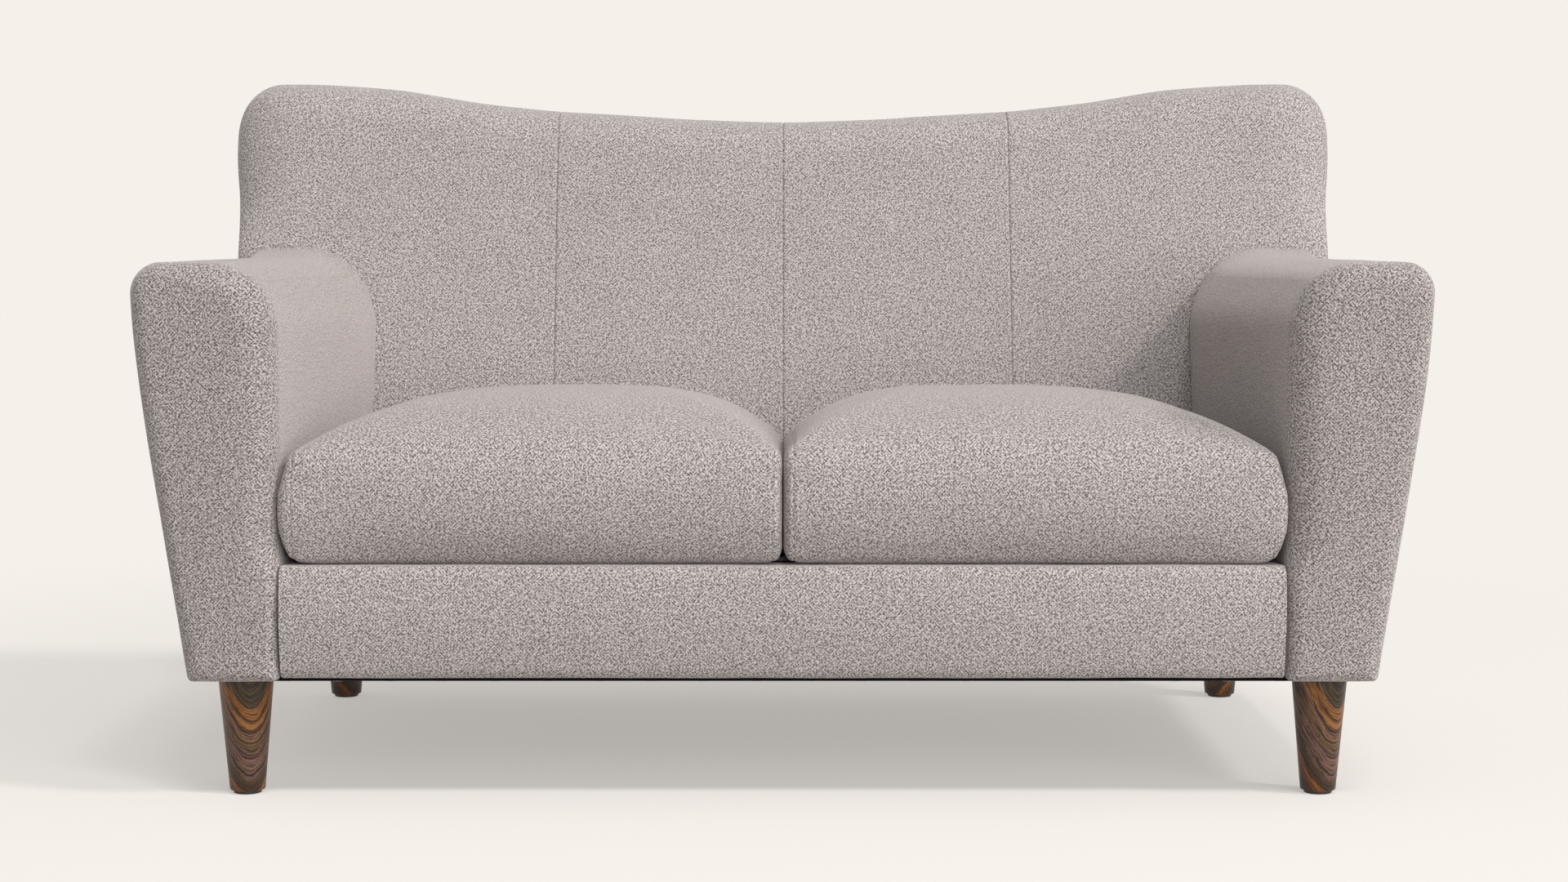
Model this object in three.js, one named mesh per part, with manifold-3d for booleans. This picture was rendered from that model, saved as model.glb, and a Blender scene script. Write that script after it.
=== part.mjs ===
// A two-seater sofa with a dipped back, flared arms, two loose seat cushions and four turned legs.
// Millimetres, +Z up. The seat faces -Y, X runs along the seat, and the origin is on the floor at the centre.
// Left and right are the viewer's, facing the sofa. A reach is a distance behind the front of the arms.

import * as THREE from "three";
import { mergeVertices } from "three/addons/utils/BufferGeometryUtils.js";
import Module from "manifold-3d";

const wasm = await Module();
wasm.setup();

// Overall sizes
const overallWidth = 1568;
const overallDepth = 850;
const baseHeight = 144;
const wingHeight = 891;
const crestDip = 57;
const clearance = 0.4;
const cutOverrun = 60;

// Arms
const armFrontTop = 648;
const armTopRise = 13;
const armFootInset = 66;
const armFootWidth = 112;
const armInnerDrawIn = 36;
const armOuterTaper = 9;
const armFlareAngle = 8.53;
const armBendDrop = 208;
const armBendLength = 240;
const armTopInnerRadius = 85;
const armTopOuterRadius = 32;
const armFootRadius = 8;
const armFrontInnerRoll = 60;
const armFrontLowRoll = 12;
const armFrontTopRoll = 30;
const armFrontOuterRoll = 22;
const armFrontFootRoll = 14;
const armRollChangeStart = 292;
const armRollChangeEnd = 345;

// Upholstery layers
const coverThickness = 4;
const armFoamThickness = 22;
const coverHem = 18;
const smallestRadius = 1.5;

// Back
const backDepth = 250;
const backSetBack = 133.7;
const seatLineHeight = 467;
const rearSetBack = 36.1;
const backTopFrontRadius = 74;
const backTopRearRadius = 42;
const backFootRadius = 5;
const backSideFrontRoll = 38;
const backSideLowRoll = 3;
const backSideTopRoll = 62;
const backSideRearRoll = 20;
const backSideFootRoll = 5;
const backRollChangeDrop = 223;
const backRollChangeLength = 62;
const backFlareDrop = 241;
const backFlareLength = 150;
const backFoamThickness = 46;
const backFoamEdge = 24;
const backLowerEdge = 268;
const backSeamOffset = 321;
const backSeamHalfWidth = 5;
const backSeamDepth = 2.5;
const outsideBackThickness = 2.4;
const outsideBackMargin = 16;
const outsideBackFoot = 150;

// Seat
const deckFrontHeight = 284.6;
const seatRakeAngle = 2.4;
const deckClothThickness = 1.6;
const deckFeltThickness = 9;
const deckSideGap = 2.2;
const cushionFrontReach = 10;
const cushionBackGap = 5.4;
const cushionEdgeHeight = 138;
const cushionCrown = 74;
const cushionRearAngle = 16.5;
const cushionCentreGap = 2.4;
const cushionArmGap = 2.6;
const cushionCornerRadius = 26;
const cushionSideDrawIn = 4;
const cushionFrontDrawIn = 7;
const cushionTopRoll = 24;
const cushionFootRoll = 12;
const cushionCoverThickness = 3;
const zipLength = 430;
const zipTapeWidth = 13;
const zipTapeThickness = 1.6;
const zipHeight = 62;
const zipToothWidth = 3.6;
const zipToothRise = 0.9;
const sliderLength = 15;
const sliderWidth = 8;
const sliderRise = 3.2;
const pullLength = 22;
const pullWidth = 5.5;
const pullThickness = 1.2;

// Front rail and seat box
const railFaceReach = 8;
const railFoot = 147;
const railEndGap = 1.4;
const railLip = 70;
const railTuck = 22;
const railTopRadius = 13;
const railFootRadius = 8;
const railFoamThickness = 11;
const railThickness = 24;
const seatRailFoot = 152;
const sideRailInset = 66;
const rearRailSetForward = 23;
const rearRailThickness = 32;
const battenWidth = 20;
const battenHeight = 20;
const baseRailHeight = 70;
const baseRailThickness = 18;

// Arm frames
const armBoardThickness = 18;
const armBottomRailThickness = 22;
const armBottomRailHeight = 50;
const armBottomRailInset = 72;
const armBottomRailRearGap = 50;
const armTopRailThickness = 22;
const armTopRailWidth = 76;
const legBlockWidth = 45;
const legBlockLength = 54;
const legBlockHeight = 26;

// Back frame
const backBoardThickness = 24;
const backBoardTopDrop = 191;
const topRailEndGap = 68;
const topRailThickness = 32;
const webbingWidth = 52;
const webbingThickness = 2;
const webbingShares = [0.38, 0.69];

// Springs
const springWireRadius = 1.9;
const springHalfWidth = 24;
const springsPerSeat = 4;
const springHalfWaves = 12;
const springStepsPerHalfWave = 3;
const springWireSides = 5;
const tieWireShares = [0.33, 0.67];

// Legs
const legTopRadius = 33.5;
const legFootRadius = 21.5;
const legFootBevel = 1.5;
const frontLegReach = 60;
const rearLegRearGap = 85;
const frontLegInset = 63;
const rearLegInset = 78;
const glideHeight = 4;
const glideRadius = 17;
const glidePinRadius = 2.5;
const glidePinLength = 10;
const boltRadius = 4;
const boltInLeg = 46;
const boltInBlock = 22;
const turnedSides = 32;
const glideSides = 20;
const boltSides = 12;
const dustCoverThickness = 1.2;
const dustCoverMargin = 12;
const dustCoverRearGap = 52;

// Worked out from the sizes above
const frontY = -overallDepth / 2;
const backHalfWidth = overallWidth / 2;
const armFootHalfWidth = backHalfWidth - armFootInset;
const armInnerFront = armFootHalfWidth - armFootWidth;
const armBendStart = armFrontTop - armBendDrop;
const backFaceReach = overallDepth - backDepth;
const backRollChangeStart = wingHeight - backRollChangeDrop;
const backRollChangeEnd = backRollChangeStart + backRollChangeLength;
const backFlareStart = wingHeight - backFlareDrop;
const backFlareEnd = backFlareStart + backFlareLength;
const backSlope = backSetBack / (wingHeight - seatLineHeight);
const backLean = Math.atan(backSlope);
const backBoardTop = wingHeight - backBoardTopDrop;
const sideRailOffset = armInnerFront - sideRailInset;
const rearRailReach = backFaceReach - rearRailSetForward;
const armBottomRailInner = armFootHalfWidth - armBottomRailInset;
const legReaches = { front: frontLegReach, rear: overallDepth - rearLegRearGap };
const legOffsets = { front: armFootHalfWidth - frontLegInset, rear: armFootHalfWidth - rearLegInset };
const tanOf = (degrees) => Math.tan(THREE.MathUtils.degToRad(degrees));
const armFlareSlope = tanOf(armFlareAngle);
const dustCoverTop = baseHeight - clearance;
const legTopHeight = dustCoverTop - dustCoverThickness - clearance;
const springDepth = deckClothThickness + deckFeltThickness + 2 * clearance;
const battenDepth = springDepth + 2 * springWireRadius + clearance;
const railFrontReach = railFaceReach + coverThickness + railFoamThickness + 2 * clearance;
const railRearReach = railFrontReach + railThickness;
const armCoreSkin = coverThickness + armFoamThickness + 2 * clearance;
const backCoreSkin = coverThickness + backFoamThickness + webbingThickness + 3 * clearance;
const backEdgeSkin = coverThickness + backFoamEdge + 2 * clearance;
const timberFoot = baseHeight + legBlockHeight + clearance;
const backBoardInner = armBottomRailInner - clearance - backBoardThickness;
const armBoardRear = armCoreSkin + armBoardThickness;
const armBodyLength = backFaceReach - armFrontInnerRoll;
const rearBattenReach = rearRailReach - clearance - battenWidth;

// Materials
const fabric = new THREE.MeshStandardMaterial({ color: "#b0a8a5", roughness: 0.95 });
const foam = new THREE.MeshStandardMaterial({ color: "#e6dfc8", roughness: 1 });
const timber = new THREE.MeshStandardMaterial({ color: "#c9a878", roughness: 0.8 });
const legTimber = new THREE.MeshStandardMaterial({ color: "#5d4332", roughness: 0.45 });
const steel = new THREE.MeshStandardMaterial({ color: "#8d9194", roughness: 0.35, metalness: 1 });
const blackCloth = new THREE.MeshStandardMaterial({ color: "#2b2a2a", roughness: 1 });
const felt = new THREE.MeshStandardMaterial({ color: "#8b8984", roughness: 1 });
const plastic = new THREE.MeshStandardMaterial({ color: "#3a3733", roughness: 0.6 });
const webbing = new THREE.MeshStandardMaterial({ color: "#4a463f", roughness: 0.95 });

// Solids, joins and cuts
function solidOf(geometry) {
  const bare = geometry.clone();
  bare.deleteAttribute("normal");
  bare.deleteAttribute("uv");
  const merged = mergeVertices(bare, clearance / 100);
  return new wasm.Manifold(new wasm.Mesh({
    numProp: 3,
    vertProperties: merged.attributes.position.array,
    triVerts: new Uint32Array(merged.index.array),
  }));
}

function geometryOf(solid) {
  const mesh = solid.getMesh();
  const geometry = new THREE.BufferGeometry();
  geometry.setAttribute("position", new THREE.BufferAttribute(mesh.vertProperties, 3));
  geometry.setIndex(new THREE.BufferAttribute(mesh.triVerts, 1));
  geometry.computeVertexNormals();
  return geometry;
}

function combine(action, geometry, others) {
  return geometryOf(others.reduce((done, other) => done[action](solidOf(other)), solidOf(geometry)));
}

const cut = (geometry, ...others) => combine("subtract", geometry, others);
const join = (geometry, ...others) => combine("add", geometry, others);
const common = (geometry, ...others) => combine("intersect", geometry, others);

// A closed skin over rings of points, with a fan of faces from the middle of each end ring.
function loft(rings) {
  const count = rings[0].length;
  const middle = (ring) =>
    ring.reduce((sum, point) => sum.add(point), new THREE.Vector3()).divideScalar(count);
  const points = [...rings.flat(), middle(rings[0]), middle(rings.at(-1))];
  const faces = [];
  rings.slice(1).forEach((_, row) => {
    for (let i = 0; i < count; i++) {
      const next = (i + 1) % count;
      const [a, b] = [row * count + i, row * count + next];
      faces.push(a, b, b + count, a, b + count, a + count);
    }
  });
  const [startMiddle, endMiddle] = [points.length - 2, points.length - 1];
  const lastRow = (rings.length - 1) * count;
  for (let i = 0; i < count; i++) {
    const next = (i + 1) % count;
    faces.push(startMiddle, next, i, endMiddle, lastRow + i, lastRow + next);
  }
  const volume = faces.reduce((sum, _, i) => i % 3 ? sum
    : sum + points[faces[i]].dot(points[faces[i + 1]].clone().cross(points[faces[i + 2]])), 0);
  if (volume < 0) faces.reverse();
  const geometry = new THREE.BufferGeometry().setFromPoints(points);
  geometry.setIndex(faces);
  geometry.computeVertexNormals();
  return geometry;
}

// A box between two corners.
function block(low, high) {
  const size = new THREE.Vector3(...high).sub(new THREE.Vector3(...low));
  const geometry = new THREE.BoxGeometry(size.x, size.y, size.z);
  return geometry.translate(low[0] + size.x / 2, low[1] + size.y / 2, low[2] + size.z / 2);
}

// The corners of a four-sided section with side i, from corner i to corner i + 1, moved in by insets[i].
function insetCorners(corners, insets) {
  const area = corners.reduce((sum, corner, i) => sum + corner.cross(corners[(i + 1) % 4]), 0);
  const lines = corners.map((corner, i) => {
    const along = corners[(i + 1) % 4].clone().sub(corner).normalize();
    const inward = new THREE.Vector2(-along.y, along.x).multiplyScalar(Math.sign(area));
    return { from: corner.clone().addScaledVector(inward, insets[i]), along };
  });
  return corners.map((_, i) => {
    const [one, two] = [lines[(i + 3) % 4], lines[i]];
    const share = two.from.clone().sub(one.from).cross(two.along) / one.along.cross(two.along);
    return one.from.clone().addScaledVector(one.along, share);
  });
}

// A four-sided section with rounded corners. Each point says how much it belongs to each side.
function roundedSection(corners, radii, { arcSteps, sideSteps }) {
  const arcs = corners.map((corner, i) => {
    const toBefore = corners[(i + 3) % 4].clone().sub(corner).normalize();
    const toAfter = corners[(i + 1) % 4].clone().sub(corner).normalize();
    const halfAngle = Math.acos(toBefore.dot(toAfter)) / 2;
    const centre = toBefore.clone().add(toAfter).normalize()
      .multiplyScalar(radii[i] / Math.sin(halfAngle)).add(corner);
    const start = corner.clone().addScaledVector(toBefore, radii[i] / Math.tan(halfAngle)).sub(centre);
    const turn = Math.sign(toAfter.cross(toBefore)) * (Math.PI - 2 * halfAngle);
    return Array.from({ length: arcSteps[i] + 1 }, (_, k) => {
      const share = k / arcSteps[i];
      const sides = [0, 0, 0, 0];
      sides[(i + 3) % 4] = 1 - share;
      sides[i] = share;
      const at = start.clone().rotateAround(new THREE.Vector2(), turn * share).add(centre);
      return { at, sides, corner: i };
    });
  });
  return arcs.flatMap((arc, i) => {
    const [from, to] = [arc.at(-1).at, arcs[(i + 1) % 4][0].at];
    const along = Array.from({ length: sideSteps[i] - 1 }, (_, k) => ({
      at: from.clone().lerp(to, (k + 1) / sideSteps[i]),
      sides: [0, 1, 2, 3].map((side) => Number(side === i)),
    }));
    return [...arc, ...along];
  });
}

const steps = (count, make) => Array.from({ length: count + 1 }, (_, k) => make(k / count));
const shared = (weights, values) => weights.reduce((sum, weight, i) => sum + weight * values[i], 0);
const smoothShare = (low, high, value) => THREE.MathUtils.smoothstep(value, low, high);
const lerp = THREE.MathUtils.lerp;

// Surfaces that several pieces follow

// The outer half width of an arm's front at a height. The side leans out and bends upright near the top.
function armOuterAt(height) {
  const inBend = THREE.MathUtils.clamp(height - armBendStart, 0, armBendLength);
  const pastBend = Math.max(height - armBendStart - armBendLength, 0);
  const straight = armFootHalfWidth + armFlareSlope * (height - baseHeight);
  return straight - armFlareSlope * (inBend ** 2 / (2 * armBendLength) + pastBend);
}

// The back's half width at a height. It is flush with the rear of the arms, and its wings flare above them.
function backHalfWidthAt(height) {
  const atArms = armOuterAt(Math.min(height, backFlareStart)) - armOuterTaper;
  return lerp(atArms, backHalfWidth, smoothShare(backFlareStart, backFlareEnd, height));
}

const backFaceAt = (height) => frontY + backFaceReach + (height - seatLineHeight) * backSlope;
const deckHeightAt = (reach) => deckFrontHeight - reach * tanOf(seatRakeAngle);
const outsideBackTop = wingHeight - backTopRearRadius - outsideBackMargin;
const rearSlope = rearSetBack / (outsideBackTop - baseHeight);
const outsideBackAt = (height) => overallDepth / 2 - (outsideBackTop - height) * rearSlope;
const backRearAt = (height) => outsideBackAt(height) - outsideBackThickness - clearance;
const seatDrawInReach = backFaceAt(deckFrontHeight) - frontY;
const seatRearReach = seatDrawInReach / (1 + tanOf(seatRakeAngle) * backSlope);
const seatHalfWidthAt = (reach) => armInnerFront - armInnerDrawIn * reach / seatDrawInReach;

// The crest line: low at the middle and high at the wings.
const crestReachShares = [0, 0.18, 0.32, 0.52, 0.63, 0.73, 0.79, 0.88, 1];
const crestRiseShares = [0, 0.05, 0.17, 0.35, 0.49, 0.71, 0.84, 0.94, 1];
const crestWingShare = 0.885;
const crestPlaces = crestReachShares.map((share) => share * crestWingShare * backHalfWidth);
function crestAt(x) {
  const i = crestPlaces.findIndex((place) => place >= Math.abs(x));
  if (i < 0) return wingHeight;
  if (i === 0) return wingHeight - crestDip;
  const share = (Math.abs(x) - crestPlaces[i - 1]) / (crestPlaces[i] - crestPlaces[i - 1]);
  return wingHeight - crestDip * (1 - lerp(crestRiseShares[i - 1], crestRiseShares[i], share));
}

// Arms

const fineArm = { arcSteps: [2, 6, 4, 2], sideSteps: [5, 2, 5, 1], rollSteps: 4 };
const plainArm = { arcSteps: [1, 3, 2, 1], sideSteps: [2, 1, 3, 1], rollSteps: 2 };

// The right arm, moved in by skin. Its front edges are rolled, and its rear meets the back's face.
function armShape({ skin, rearGap, foot = baseHeight, detail = plainArm }) {
  const section = (share, insets) => {
    const inner = armInnerFront - armInnerDrawIn * share;
    const top = armFrontTop + armTopRise * share;
    const outerAt = (height) =>
      armFootHalfWidth - armOuterTaper * share + armFlareSlope * (height - baseHeight);
    const corners = insetCorners([
      new THREE.Vector2(inner, foot),
      new THREE.Vector2(inner, top),
      new THREE.Vector2(outerAt(top), top),
      new THREE.Vector2(outerAt(foot), foot),
    ], insets);
    const radii = [armFootRadius, armTopInnerRadius, armTopOuterRadius, armFootRadius].map((radius, i) =>
      Math.max(radius - Math.min(insets[(i + 3) % 4], insets[i]), smallestRadius));
    return roundedSection(corners, radii, detail).map(({ at, sides, corner }) => {
      const bend = outerAt(at.y) + armOuterTaper * share - armOuterAt(at.y);
      const across = THREE.MathUtils.clamp((at.x - inner) / (outerAt(at.y) - inner), 0, 1);
      return { x: at.x - bend * across, z: at.y, sides, onInner: corner === 0 ? 1 : sides[0] };
    });
  };
  const rollsAt = (height) => {
    const change = smoothShare(armRollChangeStart, armRollChangeEnd, height);
    const innerRoll = lerp(armFrontLowRoll, armFrontInnerRoll, change);
    return [innerRoll, armFrontTopRoll, armFrontOuterRoll, armFrontFootRoll]
      .map((roll) => Math.max(roll - skin, smallestRadius));
  };
  const widest = rollsAt(armFrontTop);
  const front = steps(detail.rollSteps, (share) => {
    const turn = (Math.PI / 2) * share;
    const insets = widest.map((roll) => skin + roll * (1 - Math.sin(turn)));
    return section(0, insets).map(({ x, z, sides, onInner }) => {
      const rolls = rollsAt(z);
      const spare = (widest[0] - rolls[0]) * (1 - Math.sin(turn)) * onInner;
      return new THREE.Vector3(x - spare, frontY + skin + shared(sides, rolls) * (1 - Math.cos(turn)), z);
    });
  });
  const lastShare = 1 - rearGap / armBodyLength;
  const bodyShares = [1 / 3, 2 / 3, Math.min(lastShare, 1), ...(lastShare > 1 ? [lastShare] : [])];
  const body = bodyShares.map((share) => section(share, [skin, skin, skin, skin]).map(({ x, z }, i) => {
    const y = lerp(front.at(-1)[i].y, backFaceAt(z), Math.min(share, 1));
    return new THREE.Vector3(x, y + Math.max(share - 1, 0) * armBodyLength, z);
  }));
  return loft([...front, ...body]);
}

const armCore = () => armShape({
  skin: armCoreSkin,
  rearGap: -(backCoreSkin - clearance) / Math.cos(backLean),
  foot: baseHeight - cutOverrun,
});
const armTopRailFoot = armFrontTop - armCoreSkin - armTopRailThickness;
const armTopRailTop = armFrontTop + armTopRise - armCoreSkin;
const armTopRailOuter = backBoardInner + armTopRailWidth;
const frontRailTop = deckHeightAt(railRearReach) - springDepth;

// The slot where the front rail runs into the arm.
const frontRailSlot = () => block(
  [armInnerFront - cutOverrun, frontY + railFrontReach - clearance, seatRailFoot - clearance],
  [armInnerFront + armCoreSkin, frontY + railRearReach + clearance, frontRailTop + clearance],
);

function armCover() {
  return cut(
    armShape({ skin: 0, rearGap: clearance, detail: fineArm }),
    armShape({ skin: coverThickness, rearGap: -cutOverrun }),
    armShape({ skin: coverHem, rearGap: -cutOverrun, foot: baseHeight - cutOverrun }),
    frontRailSlot(),
  );
}

function armFoam() {
  return cut(
    armShape({ skin: coverThickness + 2 * clearance, rearGap: clearance }),
    armShape({ skin: armCoreSkin - clearance, rearGap: -cutOverrun, foot: baseHeight - cutOverrun }),
    frontRailSlot(),
  );
}

const armFrontBoard = () => common(armCore(), block(
  [armInnerFront + armCoreSkin, frontY, baseHeight + coverThickness + clearance],
  [armOuterAt(wingHeight) + cutOverrun, frontY + armBoardRear, wingHeight],
));

const armTopRail = () => common(armCore(), block(
  [backBoardInner, frontY + armBoardRear + clearance, armTopRailFoot],
  [armTopRailOuter, overallDepth / 2, armTopRailTop],
));

const armBottomRail = () => block(
  [armBottomRailInner, frontY + armBoardRear + clearance, timberFoot],
  [armBottomRailInner + armBottomRailThickness, overallDepth / 2 - armBottomRailRearGap,
    timberFoot + armBottomRailHeight],
);

// Back

const fineBack = { arcSteps: [1, 6, 4, 1], sideSteps: [6, 2, 4, 1], rollSteps: 4, seamDepth: backSeamDepth };
const plainBack = { arcSteps: [1, 3, 2, 1], sideSteps: [3, 1, 2, 1], rollSteps: 2, seamDepth: 0 };

// The back, with its front, top, rear and foot moved in by skins and its two ends by endSkin.
function backShape({ skins, endSkin, detail = plainBack }) {
  const section = (x, insets) => {
    const top = crestAt(x);
    const corners = insetCorners([
      new THREE.Vector2(backFaceAt(baseHeight), baseHeight),
      new THREE.Vector2(backFaceAt(top), top),
      new THREE.Vector2(backRearAt(top), top),
      new THREE.Vector2(backRearAt(baseHeight), baseHeight),
    ], insets);
    const radii = [backFootRadius, backTopFrontRadius, backTopRearRadius, backFootRadius].map((radius, i) =>
      Math.max(radius - Math.max(Math.min(insets[(i + 3) % 4], insets[i]), 0), smallestRadius));
    return roundedSection(corners, radii, detail).map(({ at, sides, corner }) =>
      ({ y: at.x, z: at.y, sides, onFront: corner === 0 ? 1 : sides[0] }));
  };
  const rollsAt = (height) => {
    const change = smoothShare(backRollChangeStart, backRollChangeEnd, height);
    const frontRoll = lerp(backSideLowRoll, backSideFrontRoll, change);
    return [frontRoll, backSideTopRoll, backSideRearRoll, backSideFootRoll]
      .map((roll) => Math.max(roll - endSkin, smallestRadius));
  };
  const widest = rollsAt(wingHeight);
  const halfWidthAt = (height, sides, turn) =>
    backHalfWidthAt(height) - endSkin - shared(sides, rollsAt(height)) * (1 - Math.cos(turn));
  const seams = detail.seamDepth ? [0, backSeamOffset] : [];
  const places = [
    ...crestPlaces.slice(1, -2).map((place) => ({ place, dip: 0 })),
    ...(detail.seamDepth ? [] : [{ place: 0, dip: 0 }]),
    ...seams.map((place) => ({ place, dip: detail.seamDepth })),
    ...seams.map((place) => ({ place: place + backSeamHalfWidth, dip: 0 })),
    ...seams.filter(Boolean).map((place) => ({ place: place - backSeamHalfWidth, dip: 0 })),
  ].sort((one, two) => one.place - two.place);
  const halfOf = (side) => {
    const inner = places.map(({ place, dip }) =>
      section(place, [skins[0] + dip, skins[1] + dip, skins[2], skins[3]])
        .map(({ y, z }) => new THREE.Vector3(side * place, y, z)));
    const wing = steps(2, (share) => {
      const last = places.at(-1).place;
      return section(lerp(last, crestPlaces.at(-1), share), skins).map(({ y, z, sides }) => {
        const flatHalfWidth = halfWidthAt(z, sides, 0) - shared(sides, rollsAt(z));
        return new THREE.Vector3(side * lerp(last, flatHalfWidth, share), y, z);
      });
    }).slice(1, -1);
    const end = steps(detail.rollSteps, (share) => {
      const turn = (Math.PI / 2) * (1 - share);
      const insets = widest.map((roll, i) => skins[i] + roll * (1 - Math.sin(turn)));
      return section(backHalfWidth, insets).map(({ y, z, sides, onFront }) => {
        const spare = (widest[0] - rollsAt(z)[0]) * (1 - Math.sin(turn)) * onFront;
        return new THREE.Vector3(side * halfWidthAt(z, sides, turn), y - spare, z);
      });
    });
    return [...inner, ...wing, ...end];
  };
  return loft([...halfOf(-1).slice(1).reverse(), ...halfOf(1)]);
}

const backCore = () => backShape({
  skins: [backCoreSkin, backEdgeSkin, coverThickness + clearance, coverThickness + clearance],
  endSkin: backEdgeSkin,
});

// The slots where the arms' top rails run into the back, and the open lower front that the seat runs into.
function backOpenings() {
  const slots = [-1, 1].map((side) => block(
    [side * (backBoardInner + armTopRailOuter) / 2 - armTopRailWidth / 2 - clearance,
      backFaceAt(armTopRailFoot) - cutOverrun, armTopRailFoot - clearance],
    [side * (backBoardInner + armTopRailOuter) / 2 + armTopRailWidth / 2 + clearance,
      backFaceAt(armTopRailFoot) + backCoreSkin + cutOverrun, armTopRailTop + clearance],
  ));
  const seatWidth = armBottomRailInner + armBottomRailThickness + 2 * clearance;
  const seat = block(
    [-seatWidth, frontY, baseHeight - cutOverrun],
    [seatWidth, frontY + rearRailReach + rearRailThickness + cutOverrun, backLowerEdge],
  );
  return [...slots, seat];
}

function insideBackCover() {
  const footHalfWidth = armFootHalfWidth - armOuterTaper - coverHem;
  const crestLow = wingHeight - crestDip;
  const under = block(
    [-footHalfWidth, frontY + rearRailReach, baseHeight - cutOverrun],
    [footHalfWidth, backRearAt(baseHeight) - coverHem, baseHeight + 2 * coverThickness],
  );
  const behind = block(
    [-footHalfWidth, backRearAt(baseHeight) - 2 * coverThickness, outsideBackFoot + coverHem],
    [footHalfWidth, backRearAt(wingHeight) + cutOverrun,
      crestLow - backTopRearRadius - outsideBackMargin - coverHem],
  );
  return cut(
    backShape({ skins: [0, 0, 0, 0], endSkin: 0, detail: fineBack }),
    backShape({ skins: Array(4).fill(coverThickness), endSkin: coverThickness }),
    under,
    behind,
    ...backOpenings(),
  );
}

function backFoam() {
  const skin = coverThickness + clearance;
  const below = block(
    [-backHalfWidth - cutOverrun, -overallDepth, baseHeight - cutOverrun],
    [backHalfWidth + cutOverrun, overallDepth, backLowerEdge],
  );
  return cut(
    backShape({ skins: [skin, skin, skin, skin], endSkin: skin }),
    backShape({
      skins: [skin + backFoamThickness, skin + backFoamEdge, -cutOverrun, -cutOverrun],
      endSkin: skin + backFoamEdge,
    }),
    below,
    ...backOpenings(),
  );
}

const backBoard = (low, high, foot) =>
  common(backCore(), block([low, frontY, foot], [high, overallDepth, backBoardTop]));

// The rail under the crest, which fills the core's front edge and stands on the back's boards.
function backTopRail() {
  const detail = { arcSteps: [1, plainBack.arcSteps[1], 1, 1], sideSteps: [1, 1, 1, 1] };
  const radii = [smallestRadius, backTopFrontRadius - backEdgeSkin, smallestRadius, smallestRadius];
  const foot = backBoardTop + clearance;
  const frontAt = (height) => backFaceAt(height) + backCoreSkin / Math.cos(backLean);
  const rearAt = (height) => frontAt(height) + topRailThickness / Math.cos(backLean);
  const ring = (x) => {
    const top = crestAt(x) - backEdgeSkin;
    const corners = [[frontAt(foot), foot], [frontAt(top), top], [rearAt(top), top], [rearAt(foot), foot]];
    return roundedSection(corners.map(([y, z]) => new THREE.Vector2(y, z)), radii, detail)
      .map(({ at }) => new THREE.Vector3(x, at.x, at.y));
  };
  const half = [...crestPlaces.slice(1, -2), backHalfWidth - topRailEndGap];
  return loft([...half.map((x) => -x).reverse(), 0, ...half].map(ring));
}

function backWebbing(height) {
  const halfLength = backBoardInner + backBoardThickness;
  const face = (backCoreSkin - webbingThickness - clearance) / Math.cos(backLean);
  return block(
    [-halfLength, 0, -webbingWidth / 2],
    [halfLength, webbingThickness, webbingWidth / 2],
  )
    .rotateX(-backLean)
    .translate(0, backFaceAt(height) + face, height);
}

function outsideBack() {
  const halfWidthAt = (height) => backHalfWidthAt(height) - outsideBackMargin - backSideRearRoll;
  const crest = crestPlaces.slice(0, -1);
  const edge = (side) => crest.map((x) =>
    new THREE.Vector2(side * x, crestAt(x) - backTopRearRadius - outsideBackMargin));
  const sideHeights = steps(4, (share) => lerp(outsideBackTop, outsideBackFoot, share));
  const down = (side) => sideHeights.map((z) => new THREE.Vector2(side * halfWidthAt(z), z));
  const outline = [...edge(-1).slice(1).reverse(), ...edge(1), ...down(1), ...down(-1).reverse()];
  return loft([outsideBackThickness, 0].map((depth) =>
    outline.map(({ x, y: z }) => new THREE.Vector3(x, outsideBackAt(z) - depth, z))));
}

// Seat

// A slab under the seat's surface, between two reaches and two depths, with its sides given at a reach.
function rakedSlab(reaches, depths, lowSideAt, highSideAt) {
  return loft(depths.map((depth) => [
    [lowSideAt, reaches[0]], [highSideAt, reaches[0]], [highSideAt, reaches[1]], [lowSideAt, reaches[1]],
  ].map(([sideAt, reach]) => new THREE.Vector3(sideAt(reach), frontY + reach, deckHeightAt(reach) - depth))));
}

const deckSideAt = (side) => (reach) => side * (seatHalfWidthAt(reach) - deckSideGap);
const deckReaches = [railFaceReach + railLip + clearance, rearRailReach - clearance];
const deckLayer = (top, thickness) =>
  rakedSlab(deckReaches, [top, top + thickness], deckSideAt(-1), deckSideAt(1));
const springBatten = (reach) => rakedSlab(
  [reach, reach + battenWidth],
  [battenDepth, battenDepth + battenHeight],
  () => -sideRailOffset + clearance,
  () => sideRailOffset - clearance,
);

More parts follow.
